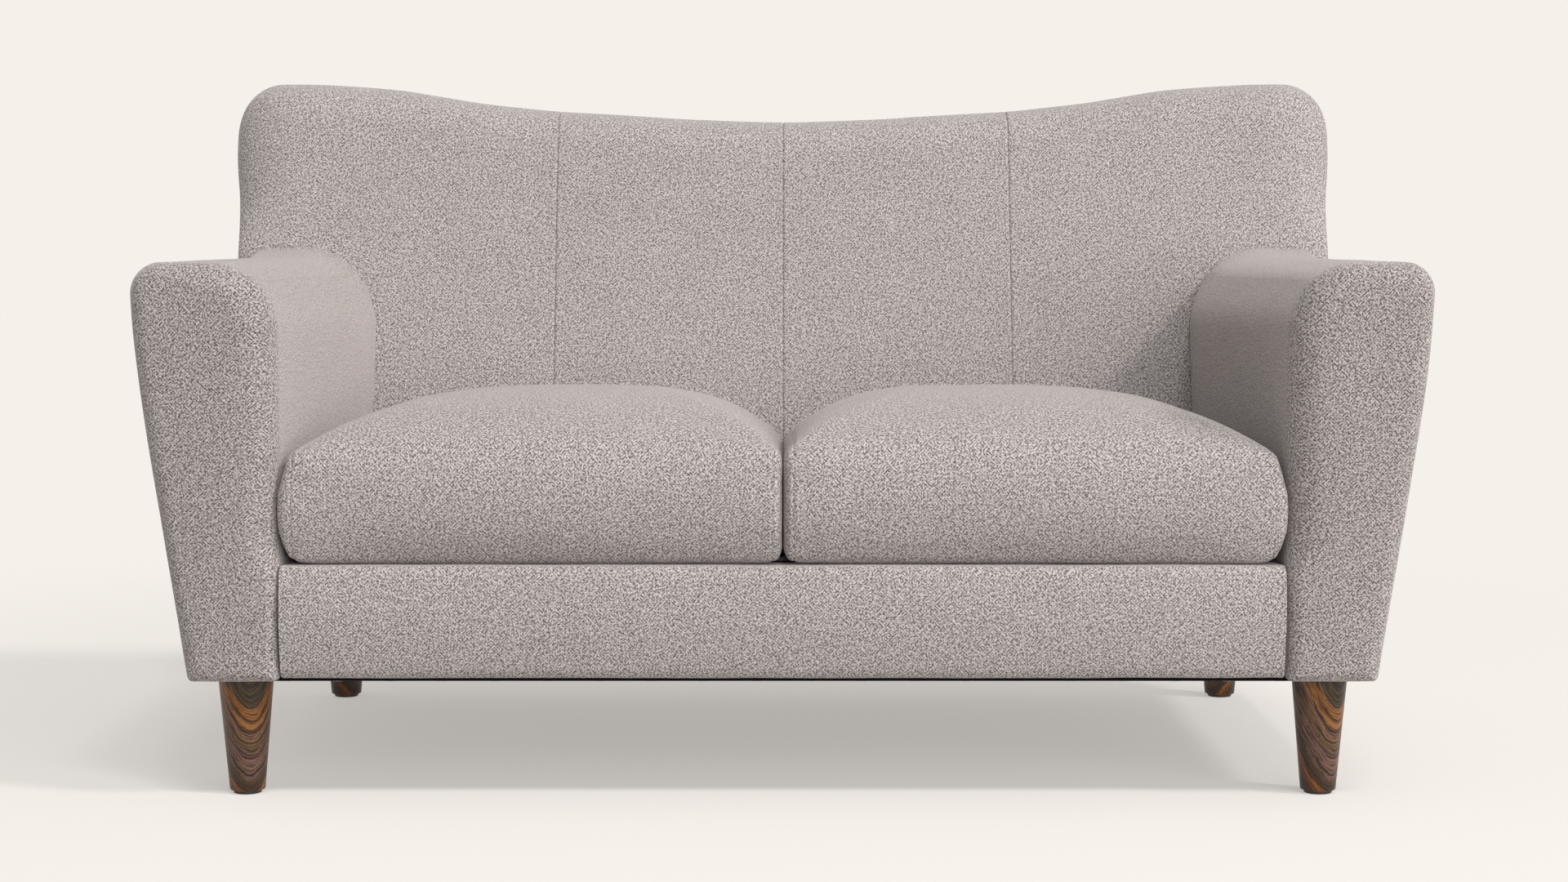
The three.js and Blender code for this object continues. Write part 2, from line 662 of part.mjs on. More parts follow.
// The front rail's section, moved in by insets, as a bar that ends at the arms or, for a cutter, inside them.
function railShape(insets, throughArms = false) {
  const [front, rear] = [railFaceReach, railFaceReach + railLip];
  const corners = insetCorners([
    new THREE.Vector2(front, railFoot),
    new THREE.Vector2(front, deckHeightAt(front)),
    new THREE.Vector2(rear, deckHeightAt(rear)),
    new THREE.Vector2(rear, railFoot),
  ], insets);
  const radii = [railFootRadius, railTopRadius, smallestRadius, smallestRadius].map((radius, i) =>
    Math.max(radius - Math.max(insets[(i + 3) % 4], insets[i]), smallestRadius));
  const section = roundedSection(corners, radii, { arcSteps: [3, 4, 1, 1], sideSteps: [2, 1, 1, 1] });
  return loft([-1, 1].map((side) => section.map(({ at }) => new THREE.Vector3(
    side * (throughArms ? backHalfWidth : seatHalfWidthAt(at.x) - railEndGap), frontY + at.x, at.y))));
}

function frontRailCover() {
  const under = block(
    [-backHalfWidth, frontY + railFaceReach + railTuck, baseHeight - cutOverrun],
    [backHalfWidth, frontY + railFaceReach + railLip + cutOverrun, railFoot + 2 * coverThickness],
  );
  return cut(
    railShape([0, 0, 0, 0]),
    railShape([coverThickness, coverThickness, -cutOverrun, coverThickness], true),
    under,
  );
}

function frontRailFoam() {
  const skin = coverThickness + clearance;
  return cut(
    railShape([skin, skin, 0, skin]),
    railShape([skin + railFoamThickness, springDepth - clearance, -cutOverrun, -cutOverrun], true),
  );
}

// A seat's zigzag springs, each a wave of wire along the reach, joined by straight tie wires.
function seatSprings() {
  const [start, end] = [railRearReach + 2 * springWireRadius, rearRailReach - 2 * springWireRadius];
  const waveSteps = springHalfWaves * springStepsPerHalfWave;
  const pointAt = (x, reach) =>
    new THREE.Vector3(x, frontY + reach, deckHeightAt(reach) - springDepth - springWireRadius);
  const section = new THREE.Shape(Array.from({ length: springWireSides }, (_, i) =>
    new THREE.Vector2(springWireRadius, 0)
      .rotateAround(new THREE.Vector2(), 2 * Math.PI * i / springWireSides)));
  const wire = (points) => new THREE.ExtrudeGeometry(section, {
    steps: points.length - 1, bevelEnabled: false, extrudePath: new THREE.CatmullRomCurve3(points),
  });
  const pitch = (sideRailOffset - railThickness / 2) / springsPerSeat;
  const places = Array.from({ length: springsPerSeat }, (_, i) => railThickness / 2 + pitch * (i + 1 / 2));
  const waveAt = (share) => springHalfWidth * Math.sin(Math.PI * springHalfWaves * share);
  const springs = places.map((place) => wire(
    steps(waveSteps, (share) => pointAt(place + waveAt(share), lerp(start, end, share)))));
  const tieEnds = [places[0] - springHalfWidth, places.at(-1) + springHalfWidth];
  const ties = tieWireShares.map((share) =>
    wire(tieEnds.map((x) => pointAt(x, lerp(start, end, share)))));
  return join(springs[0], ...springs.slice(1), ...ties);
}

// Cushions

const cushionRear = seatRearReach - cushionBackGap;
const cushionDepth = cushionRear - cushionFrontReach;
const cushionHeight = cushionEdgeHeight + cushionCrown;
const crownPower = 4;
const cushionRollEnd = Math.PI / 2 - Math.atan(2 * crownPower * cushionCrown / cushionDepth);
const fineCushion = {
  arcSteps: [3, 3, 3, 3], sideSteps: [6, 4, 6, 4], footSteps: 2, wallSteps: 4, topSteps: 3, crownSteps: 6,
};
const plainCushion = {
  arcSteps: [2, 2, 2, 2], sideSteps: [3, 2, 3, 2], footSteps: 1, wallSteps: 2, topSteps: 1, crownSteps: 4,
};

// The right seat cushion, moved in by skin: drawn-in sides, a rolled top edge and a crowned top.
function cushionShape({ skin, detail = plainCushion }) {
  const outerAt = (reach) => seatHalfWidthAt(reach) - cushionArmGap;
  const corners = [
    new THREE.Vector2(cushionCentreGap / 2, cushionFrontReach),
    new THREE.Vector2(outerAt(cushionFrontReach), cushionFrontReach),
    new THREE.Vector2(outerAt(cushionRear), cushionRear),
    new THREE.Vector2(cushionCentreGap / 2, cushionRear),
  ];
  const drawIns = [cushionFrontDrawIn, cushionSideDrawIn, 0, cushionSideDrawIn];
  const lift = (height) => skin + height * (1 - 2 * skin / cushionHeight);
  const wallTop = cushionEdgeHeight - cushionTopRoll * Math.sin(cushionRollEnd);
  const outlineAt = (inset, height) => {
    const wallShare = THREE.MathUtils.clamp((height - cushionFootRoll) / (wallTop - cushionFootRoll), 0, 1);
    const insets = drawIns.map((drawIn) => skin + inset + drawIn * (1 - Math.sin(Math.PI * wallShare)));
    const radii = Array(4).fill(Math.max(cushionCornerRadius - skin, smallestRadius));
    return roundedSection(insetCorners(corners, insets), radii, detail).map(({ at }) => at);
  };
  const ringAt = (outline, height) => outline.map(({ x, y: reach }) => {
    const leaned = reach + lift(height) * tanOf(cushionRearAngle) * (reach - cushionFrontReach) / cushionDepth;
    return new THREE.Vector3(x, frontY + leaned, deckHeightAt(leaned) + clearance + lift(height));
  });
  const foot = steps(detail.footSteps, (share) => {
    const turn = (Math.PI / 2) * share;
    const height = cushionFootRoll * (1 - Math.cos(turn));
    return ringAt(outlineAt(cushionFootRoll * (1 - Math.sin(turn)), height), height);
  });
  const wall = steps(detail.wallSteps, (share) => lerp(cushionFootRoll, wallTop, share)).slice(1, -1)
    .map((height) => ringAt(outlineAt(0, height), height));
  const roll = steps(detail.topSteps, (share) => {
    const turn = cushionRollEnd * share;
    const height = wallTop + cushionTopRoll * Math.sin(turn);
    return ringAt(outlineAt(cushionTopRoll * (1 - Math.cos(turn)), height), height);
  });
  const edge = outlineAt(cushionTopRoll * (1 - Math.cos(cushionRollEnd)), cushionEdgeHeight);
  const middle = edge.reduce((sum, at) => sum.add(at), new THREE.Vector2()).divideScalar(edge.length);
  const halfWidth = Math.max(...edge.map((at) => Math.abs(at.x - middle.x)));
  const halfDepth = Math.max(...edge.map((at) => Math.abs(at.y - middle.y)));
  const crown = steps(detail.crownSteps, (share) => {
    const outline = edge.map((at) => {
      const out = at.clone().sub(middle);
      const cornerShare = Math.max(Math.hypot(out.x / halfWidth, out.y / halfDepth), 1);
      return out.multiplyScalar((1 - share) * lerp(1, 1 / cornerShare, share)).add(middle);
    });
    return ringAt(outline, cushionEdgeHeight + cushionCrown * (1 - (1 - share) ** crownPower));
  }).slice(1, -1);
  return loft([...foot, ...wall, ...roll, ...crown]);
}

// Moves a piece from the zip's own frame, x along it and y outward, to the right cushion's rear face.
function atZip(geometry) {
  const reach = cushionRear + zipHeight * tanOf(cushionRearAngle);
  const middle = (cushionCentreGap / 2 + seatHalfWidthAt(cushionRear) - cushionArmGap) / 2;
  return geometry
    .rotateX(-THREE.MathUtils.degToRad(cushionRearAngle))
    .translate(middle, frontY + reach, deckHeightAt(reach) + clearance + zipHeight);
}

function cushionCover() {
  const slot = block(
    [-zipLength / 2 - clearance, -2 * cushionCoverThickness, -zipTapeWidth / 2 - clearance],
    [zipLength / 2 + clearance, 2 * cushionCoverThickness, zipTapeWidth / 2 + clearance],
  );
  return cut(
    cushionShape({ skin: 0, detail: fineCushion }),
    cushionShape({ skin: cushionCoverThickness }),
    atZip(slot),
  );
}

const cushionCore = () => cushionShape({ skin: cushionCoverThickness + clearance });

function zipTape() {
  const tape = block(
    [-zipLength / 2, -zipTapeThickness, -zipTapeWidth / 2],
    [zipLength / 2, 0, zipTapeWidth / 2],
  );
  const teeth = block(
    [-zipLength / 2, -zipTapeThickness / 2, -zipToothWidth / 2],
    [zipLength / 2, zipToothRise, zipToothWidth / 2],
  );
  return atZip(join(tape, teeth));
}

// The slider waits at the arm end of the closed zip, with its pull hanging down.
function zipSlider() {
  const body = block(
    [-sliderLength, clearance, -sliderWidth / 2],
    [0, clearance + sliderRise, sliderWidth / 2],
  );
  const channel = block(
    [-sliderLength - cutOverrun, 0, -zipToothWidth / 2 - clearance],
    [cutOverrun, zipToothRise + clearance, zipToothWidth / 2 + clearance],
  );
  const pull = block(
    [-(sliderLength + pullWidth) / 2, clearance + sliderRise - pullThickness / 2, -pullLength],
    [-(sliderLength - pullWidth) / 2, clearance + sliderRise + pullThickness / 2, 0],
  );
  return atZip(join(cut(body, channel), pull).translate(zipLength / 2, 0, 0));
}

// Legs

// A round piece about the Z axis from radius and height pairs, first and last on the axis.
const turned = (sides, pairs) =>
  new THREE.LatheGeometry(pairs.map(([radius, height]) => new THREE.Vector2(radius, height)), sides)
    .rotateX(Math.PI / 2);

const leg = () => turned(turnedSides, [
  [0, glideHeight + glidePinLength + clearance],
  [glidePinRadius + clearance, glideHeight + glidePinLength + clearance],
  [glidePinRadius + clearance, glideHeight],
  [legFootRadius - legFootBevel, glideHeight],
  [legFootRadius, glideHeight + legFootBevel],
  [legTopRadius, legTopHeight],
  [boltRadius + clearance, legTopHeight],
  [boltRadius + clearance, legTopHeight - boltInLeg - clearance],
  [0, legTopHeight - boltInLeg - clearance],
]);

const glide = () => turned(glideSides, [
  [0, 0],
  [glideRadius, 0],
  [glideRadius, glideHeight - clearance],
  [glidePinRadius, glideHeight - clearance],
  [glidePinRadius, glideHeight + glidePinLength],
  [0, glideHeight + glidePinLength],
]);

const boltOf = (radius, foot, top) => turned(boltSides, [[0, foot], [radius, foot], [radius, top], [0, top]]);
const legBolt = () => boltOf(boltRadius, legTopHeight - boltInLeg, baseHeight + boltInBlock);
const boltHole = () => boltOf(boltRadius + clearance, glideHeight, baseHeight + boltInBlock + clearance);

// The block over a leg. The front ones start behind the arm's front board.
const legBlock = (isFront) => {
  const middle = isFront ? legBlockLength / 2 + armBoardRear + clearance - legReaches.front : 0;
  return cut(block(
    [-legBlockWidth / 2, middle - legBlockLength / 2, baseHeight],
    [legBlockWidth / 2, middle + legBlockLength / 2, baseHeight + legBlockHeight],
  ), boltHole());
};

function dustCover() {
  const half = (share) => armFootHalfWidth - armOuterTaper * share - dustCoverMargin;
  const frontEdge = frontY + railFaceReach + dustCoverMargin;
  const rearEdge = overallDepth / 2 - dustCoverRearGap;
  const outline = [[-half(0), frontEdge], [half(0), frontEdge], [half(1), rearEdge], [-half(1), rearEdge]];
  const sheet = new THREE.ExtrudeGeometry(
    new THREE.Shape(outline.map(([x, y]) => new THREE.Vector2(x, y))),
    { depth: dustCoverThickness, bevelEnabled: false },
  ).translate(0, 0, dustCoverTop - dustCoverThickness);
  const holes = [-1, 1].flatMap((side) => ["front", "rear"].map((end) =>
    boltHole().translate(side * legOffsets[end], frontY + legReaches[end], 0)));
  return cut(sheet, ...holes);
}

// The whole sofa
const sofa = new THREE.Group();
const rightHalf = new THREE.Group();
const leftHalf = new THREE.Group();
leftHalf.scale.x = -1;
sofa.add(rightHalf, leftHalf);

function add(group, name, geometry, material) {
  const mesh = new THREE.Mesh(geometry, material);
  mesh.name = name;
  group.add(mesh);
  return mesh;
}

function addPair(name, geometry, material) {
  add(rightHalf, `right_${name}`, geometry, material);
  add(leftHalf, `left_${name}`, geometry, material);
}

addPair("arm_cover", armCover(), fabric);
addPair("arm_foam", armFoam(), foam);
addPair("arm_front_board", armFrontBoard(), timber);
addPair("arm_top_rail", armTopRail(), timber);
addPair("arm_bottom_rail", armBottomRail(), timber);
addPair("back_side_board",
  backBoard(backBoardInner, backBoardInner + backBoardThickness, timberFoot), timber);
addPair("side_seat_rail", block(
  [sideRailOffset, frontY + railRearReach + clearance, seatRailFoot],
  [sideRailOffset + railThickness, frontY + rearRailReach - clearance,
    deckHeightAt(rearRailReach) - springDepth],
), timber);
addPair("seat_springs", seatSprings(), steel);
addPair("seat_cushion_cover", cushionCover(), fabric);
addPair("seat_cushion_core", cushionCore(), foam);
addPair("zip_tape", zipTape(), plastic);
addPair("zip_slider", zipSlider(), steel);

for (const end of ["front", "rear"]) {
  for (const [half, side] of [[rightHalf, "right"], [leftHalf, "left"]]) {
    const place = new THREE.Group();
    place.position.set(legOffsets[end], frontY + legReaches[end], 0);
    half.add(place);
    add(place, `${side}_${end}_leg`, leg(), legTimber);
    add(place, `${side}_${end}_leg_bolt`, legBolt(), steel);
    add(place, `${side}_${end}_leg_glide`, glide(), plastic);
    add(place, `${side}_${end}_leg_block`, legBlock(end === "front"), timber);
  }
}

const frontRailEnd = armInnerFront + armCoreSkin - clearance;
add(sofa, "front_seat_rail", block(
  [-frontRailEnd, frontY + railFrontReach, seatRailFoot],
  [frontRailEnd, frontY + railRearReach, frontRailTop],
), timber);
const rearRailEnd = backBoardInner - clearance;
add(sofa, "rear_seat_rail", block(
  [-rearRailEnd, frontY + rearRailReach, seatRailFoot],
  [rearRailEnd, frontY + rearRailReach + rearRailThickness, backLowerEdge - clearance],
), timber);
add(sofa, "centre_seat_rail", block(
  [-railThickness / 2, frontY + railRearReach + clearance, seatRailFoot],
  [railThickness / 2, frontY + rearRailReach - clearance,
    deckHeightAt(rearRailReach) - battenDepth - battenHeight - clearance],
), timber);
add(sofa, "front_spring_batten", springBatten(railRearReach + 3 * clearance), timber);
add(sofa, "rear_spring_batten", springBatten(rearBattenReach - 2 * clearance), timber);
add(sofa, "rear_base_rail", block(
  [-rearRailEnd, backRearAt(timberFoot) - coverThickness - clearance - baseRailThickness, timberFoot],
  [rearRailEnd, backRearAt(timberFoot) - coverThickness - clearance, timberFoot + baseRailHeight],
), timber);
add(sofa, "centre_back_board",
  backBoard(-backBoardThickness / 2, backBoardThickness / 2, backLowerEdge), timber);
add(sofa, "back_top_rail", backTopRail(), timber);
webbingShares.forEach((share, i) => {
  const height = lerp(backLowerEdge, backBoardTop, share);
  add(sofa, `${["lower", "upper"][i]}_back_webbing`, backWebbing(height), webbing);
});
add(sofa, "seat_deck_cloth", deckLayer(0, deckClothThickness), blackCloth);
add(sofa, "seat_deck_felt", deckLayer(deckClothThickness + clearance, deckFeltThickness), felt);
add(sofa, "front_rail_cover", frontRailCover(), fabric);
add(sofa, "front_rail_foam", frontRailFoam(), foam);
add(sofa, "inside_back_cover", insideBackCover(), fabric);
add(sofa, "back_foam", backFoam(), foam);
add(sofa, "outside_back_cover", outsideBack(), fabric);
add(sofa, "dust_cover", dustCover(), blackCloth);

export default sofa;
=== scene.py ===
"""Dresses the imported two-seater sofa with its upholstery, legs, fittings, stage, lights and camera.

Shapes are worked out in millimetres and written to the meshes in metres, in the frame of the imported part:
+Z is up, the seat faces -Y, and the origin is on the floor under the middle of the sofa.
"""

import logging
import math
from collections.abc import Callable, Sequence
from dataclasses import dataclass
from enum import Enum

import bmesh
import bpy
from mathutils import Euler, Matrix, Vector, noise


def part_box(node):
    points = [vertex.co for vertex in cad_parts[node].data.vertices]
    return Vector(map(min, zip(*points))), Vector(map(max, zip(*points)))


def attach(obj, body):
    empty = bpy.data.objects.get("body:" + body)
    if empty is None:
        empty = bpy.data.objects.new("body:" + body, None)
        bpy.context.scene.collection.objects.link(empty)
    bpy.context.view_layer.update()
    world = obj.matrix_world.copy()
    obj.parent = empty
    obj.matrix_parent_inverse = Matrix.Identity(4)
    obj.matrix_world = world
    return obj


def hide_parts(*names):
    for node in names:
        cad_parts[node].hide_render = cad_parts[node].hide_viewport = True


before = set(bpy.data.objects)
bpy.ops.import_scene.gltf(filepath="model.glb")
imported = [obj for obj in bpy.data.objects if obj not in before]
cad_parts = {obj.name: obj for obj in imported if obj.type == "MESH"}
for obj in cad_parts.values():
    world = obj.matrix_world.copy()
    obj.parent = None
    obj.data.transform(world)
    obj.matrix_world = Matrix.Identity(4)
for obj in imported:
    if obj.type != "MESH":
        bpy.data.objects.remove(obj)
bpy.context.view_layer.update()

LOG = logging.getLogger("sofa")
METRES = 0.001


class Side(Enum):
    """The viewer's left or right, facing the sofa, as the sign of X."""

    LEFT = -1
    RIGHT = 1

    @property
    def word(self) -> str:
        """The word that starts the names of pieces on this side."""
        return self.name.lower()


class Slot(Enum):
    """The record's material slots."""

    UPHOLSTERY = "upholstery"
    FOAM = "foam"
    FRAME_TIMBER = "frame_timber"
    LEG_TIMBER = "leg_timber"
    SPRING_STEEL = "spring_steel"
    ZIP_NYLON = "zip_nylon"
    ZIP_METAL = "zip_metal"
    GLIDE = "glide_plastic"
    WEBBING = "webbing"
    DECK_CLOTH = "deck_cloth"
    FELT = "felt"
    DUST_CLOTH = "dust_cloth"


# Small sums


def lerp(low: float, high: float, share: float) -> float:
    """The value a share of the way from low to high."""
    return low + (high - low) * share


def clamp(value: float, low: float = 0.0, high: float = 1.0) -> float:
    """The value, held between low and high."""
    return min(max(value, low), high)


def smooth_share(low: float, high: float, value: float) -> float:
    """How far a value is from low to high, from 0 to 1, easing in and out."""
    share = clamp((value - low) / (high - low))
    return share * share * (3 - 2 * share)


def steps(count: int) -> list[float]:
    """Shares from 0 to 1 in equal steps."""
    return [k / count for k in range(count + 1)]


# Meshes


@dataclass(frozen=True)
class SectionPoint:
    """A point of a rounded section, how much it belongs to each of the four sides, and its corner or -1 for none."""

    at: Vector
    sides: tuple[float, float, float, float]
    corner: int = -1


def inset_corners(corners: Sequence[Vector], insets: Sequence[float]) -> list[Vector]:
    """Moves each side of a four-sided section inwards.

    Args:
        corners: The four corners, in order.
        insets: How far side i, from corner i to corner i + 1, moves in.

    Returns:
        The four new corners.
    """
    area = sum(corners[i].cross(corners[(i + 1) % 4]) for i in range(4))
    lines = []
    for i in range(4):
        along = (corners[(i + 1) % 4] - corners[i]).normalized()
        inward = Vector((-along.y, along.x)) * math.copysign(1, area)
        lines.append((corners[i] + inward * insets[i], along))
    found = []
    for i in range(4):
        (one, one_along), (two, two_along) = lines[(i + 3) % 4], lines[i]
        found.append(one + one_along * ((two - one).cross(two_along) / one_along.cross(two_along)))
    return found


def rounded_section(
    corners: Sequence[Vector],
    radii: Sequence[float],
    arc_steps: Sequence[int],
    side_steps: Sequence[int],
) -> list[SectionPoint]:
    """Rounds the corners of a four-sided section.

    Args:
        corners: The four corners, in order.
        radii: The radius at each corner.
        arc_steps: How many steps each corner's arc has.
        side_steps: How many steps each side has between its arcs.

    Returns:
        The points round the section, starting at the first corner's arc.
    """
    arcs: list[list[SectionPoint]] = []
    for i in range(4):
        before = (corners[(i + 3) % 4] - corners[i]).normalized()
        after = (corners[(i + 1) % 4] - corners[i]).normalized()
        half_angle = math.acos(clamp(before.dot(after), -1, 1)) / 2
        centre = corners[i] + (before + after).normalized() * (radii[i] / math.sin(half_angle))
        start = corners[i] + before * (radii[i] / math.tan(half_angle)) - centre
        turn = math.copysign(math.pi - 2 * half_angle, after.cross(before))
        arc = []
        for share in steps(arc_steps[i]):
            sides = [0.0, 0.0, 0.0, 0.0]
            sides[(i + 3) % 4] = 1 - share
            sides[i] = share
            arc.append(SectionPoint(centre + Matrix.Rotation(turn * share, 2) @ start, tuple(sides), i))
        arcs.append(arc)
    points = []
    for i in range(4):
        first, last = arcs[i][-1].at, arcs[(i + 1) % 4][0].at
        flat = tuple(float(side == i) for side in range(4))
        points += arcs[i]
        points += [SectionPoint(first.lerp(last, share), flat) for share in steps(side_steps[i])[1:-1]]
    return points


def weighed(weights: Sequence[float], values: Sequence[float]) -> float:
    """The sum of the values, each times its weight."""
    return sum(weight * value for weight, value in zip(weights, values))


def shrunk_radii(radii: Sequence[float], insets: Sequence[float], smallest: float) -> list[float]:
    """A section's corner radii, made smaller as the sides on both sides of each corner move in.

    Args:
        radii: The radii before the sides move in.
        insets: How far side i, from corner i to corner i + 1, moves in.
        smallest: The radius that always stays.

    Returns:
        The new radii.
    """
    return [max(radius - max(min(insets[(i + 3) % 4], insets[i]), 0), smallest) for i, radius in enumerate(radii)]


def capped(
    rings: list[list[Vector]], count: int, at_start: bool = True, crown: Sequence[float] = (0, 0, 0),
) -> list[list[Vector]]:
    """Closes one end of a row of rings with smaller and smaller rings.

    Args:
        rings: The rings, in millimetres.
        count: How many rings the cap has.
        at_start: Whether the cap goes before the first ring or after the last.
        crown: How far the middle of the cap stands out from the end ring.

    Returns:
        The rings with the cap's rings added.
    """
    edge = rings[0] if at_start else rings[-1]
    middle = sum(edge, Vector((0, 0, 0))) / len(edge)
    cap = [
        [middle + (point - middle) * share + Vector(crown) * (1 - share**2) for point in edge]
        for share in steps(count)[:-1]
    ]
    return cap + rings if at_start else rings + cap[::-1]


def capped_both(rings: list[list[Vector]], count: int) -> list[list[Vector]]:
    """Closes both ends of a row of rings with flat caps of a number of rings."""
    return capped(capped(rings, count), count, at_start=False)


def mirrored(rings: Sequence[Sequence[Vector]], sign: int) -> list[list[Vector]]:
    """Rings with X times a sign, so that a right-hand shape can be built on the left."""
    return [[Vector((sign * p.x, p.y, p.z)) for p in ring] for ring in rings]


def skin_over(rings: Sequence[Sequence[Vector]]) -> bmesh.types.BMesh:
    """Lays a grid over rings of points and welds it where the points meet.

    Args:
        rings: Rings of the same number of points, in millimetres. Each ring closes on itself.

    Returns:
        A closed mesh in metres with its faces outwards.
    """
    bm = bmesh.new()
    columns = len(rings[0])
    bmesh.ops.create_grid(bm, x_segments=len(rings) - 1, y_segments=columns, size=0.5)
    for vertex in bm.verts:
        row = round((vertex.co.x + 0.5) * (len(rings) - 1))
        column = round((vertex.co.y + 0.5) * columns) % columns
        vertex.co = rings[row][column] * METRES
    bmesh.ops.remove_doubles(bm, verts=bm.verts, dist=1e-5)
    bmesh.ops.recalc_face_normals(bm, faces=bm.faces)
    return bm


def lathe(profile: Sequence[tuple[float, float]], sides: int) -> bmesh.types.BMesh:
    """Spins a profile about the Z axis.

    Args:
        profile: Radius and height pairs in millimetres, first and last on the axis.
        sides: How many steps the turn has.

    Returns:
        A closed mesh in metres with its faces outwards.
    """
    bm = bmesh.new()
    verts = [bm.verts.new((radius * METRES, 0, height * METRES)) for radius, height in profile]
    edges = [bm.edges.new(pair) for pair in zip(verts, verts[1:])]
    bmesh.ops.spin(bm, geom=[*verts, *edges], cent=(0, 0, 0), axis=(0, 0, 1), angle=math.tau,
                   steps=sides, use_merge=True)
    bmesh.ops.remove_doubles(bm, verts=bm.verts, dist=1e-6)
    bmesh.ops.recalc_face_normals(bm, faces=bm.faces)
    return bm


def shift_along_normals(bm: bmesh.types.BMesh, depth_at: Callable[[Vector, Vector], float]) -> None:
    """Moves every vertex along its normal.

    Args:
        bm: The mesh, in metres.
        depth_at: Gives the move outwards, in millimetres, for a place in millimetres and a normal.
    """
    bm.normal_update()
    moves = [vertex.normal * depth_at(vertex.co / METRES, vertex.normal) * METRES for vertex in bm.verts]
    for vertex, move in zip(bm.verts, moves):
        vertex.co += move


def piece_from(name: str, bm: bmesh.types.BMesh, finish: "Finish", body: str, sharp: float = 40) -> bpy.types.Object:
    """Makes a piece of the sofa from a finished mesh.

    Args:
        name: The piece's name.
        bm: Its mesh, which is freed.
        finish: What it is made of.
        body: The CAD body that it rides on.
        sharp: The angle, in degrees, past which an edge stays sharp.

    Returns:
        The new object.
    """
    mesh = bpy.data.meshes.new(name)
    bm.to_mesh(mesh)
    bm.free()
    mesh.shade_smooth()
    mesh.set_sharp_from_angle(angle=math.radians(sharp))
    mesh.materials.append(finish.material())
    piece = bpy.data.objects.new(name, mesh)
    bpy.context.scene.collection.objects.link(piece)
    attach(piece, body)
    LOG.info("%s: %d faces on %s", name, len(mesh.polygons), body)
    return piece


def cad_box(node: str) -> tuple[Vector, Vector]:
    """The low and high corners of a CAD node's box, in millimetres."""
    low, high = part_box(node)
    return low / METRES, high / METRES


def shaped_grid(columns: int, rows: int, place_at: Callable[[float, float], Vector]) -> bmesh.types.BMesh:
    """Lays a grid and moves each of its points into place.

    Args:
        columns: How many faces it has across.
        rows: How many faces it has up.
        place_at: Gives a place in millimetres for how far across and up a point is, each from -0.5 to 0.5.

    Returns:
        The open mesh, in metres.
    """
    bm = bmesh.new()
    bmesh.ops.create_grid(bm, x_segments=columns, y_segments=rows, size=0.5)
    for vertex in bm.verts:
        vertex.co = place_at(vertex.co.x, vertex.co.y) * METRES
    return bm


def thicken(bm: bmesh.types.BMesh, thickness: float) -> None:
    """Gives a grid a thickness, in millimetres, and turns its faces outwards."""
    bmesh.ops.solidify(bm, geom=bm.faces, thickness=thickness * METRES)
    bmesh.ops.recalc_face_normals(bm, faces=bm.faces)


def lean_of(foot: Vector, head: Vector) -> tuple[Vector, Vector]:
    """The way up a leaning strip, from its foot to its head, and the way straight out behind it."""
    up = (head - foot).normalized()
    return up, up.cross(Vector((1, 0, 0)))


def settle(place: Vector, *swells: tuple[float, float]) -> float:
    """The slow unevenness of stuffing under cloth.

    Args:
        place: Where, in millimetres.
        *swells: The width and the greatest height, in millimetres, of each layer of unevenness.

    Returns:
        The height there, in millimetres.
    """
    return sum(height * noise.noise(place / width) for width, height in swells)


# Finishes


def linear(colour: str) -> tuple[float, float, float, float]:
    """The linear colour, with alpha, of an sRGB hex value such as "#a0b0c0"."""
    shares = [int(colour[i:i + 2], 16) / 255 for i in (1, 3, 5)]
    return (*[c / 12.92 if c <= 0.04045 else ((c + 0.055) / 1.055) ** 2.4 for c in shares], 1.0)


def feed(node: bpy.types.Node, inputs: dict[str | int, object]) -> None:
    """Sets or links a node's inputs.

    Args:
        node: The node.
        inputs: A value, or another node's output socket, for each named or numbered input.
    """
    for key, value in inputs.items():
        if isinstance(value, bpy.types.NodeSocket):
            node.id_data.links.new(value, node.inputs[key])
        else:
            node.inputs[key].default_value = value


def add_node(
    tree: bpy.types.NodeTree,
    kind: str,
    inputs: dict[str | int, object] | None = None,
    stops: Sequence[tuple[float, str]] = (),
    **settings: object,
) -> bpy.types.Node:
    """Adds a node with its settings and links.

    Args:
        tree: The tree that it goes in.
        kind: The node's type name.
        inputs: A value, or another node's output socket, for each named or numbered input.
        stops: Places and hex colours, where the node has a colour ramp.
        **settings: The node's own properties.

    Returns:
        The new node.
    """
    node = tree.nodes.new(kind)
    for name, value in settings.items():
        setattr(node, name, value)
    feed(node, inputs or {})
    if stops:
        elements = node.color_ramp.elements
        while len(elements) < len(stops):
            elements.new(0.5)
        for element, (place, colour) in zip(elements, stops):
            element.position = place
            element.color = linear(colour)
    return node


@dataclass(frozen=True)
class Finish:
    """What a piece is made of. Each kind paints its own node tree."""

    name: str

    def material(self) -> bpy.types.Material:
        """The finish's material, made the first time that it is asked for."""
        found = bpy.data.materials.get(self.name)
        if found:
            return found
        made = bpy.data.materials.new(self.name)
        made.use_nodes = True
        self.paint(made.node_tree, made.node_tree.nodes["Principled BSDF"])
        return made

    def paint(self, tree: bpy.types.NodeTree, surface: bpy.types.Node) -> None:
        """Adds the finish's nodes to the tree and links them to the surface."""
        raise NotImplementedError


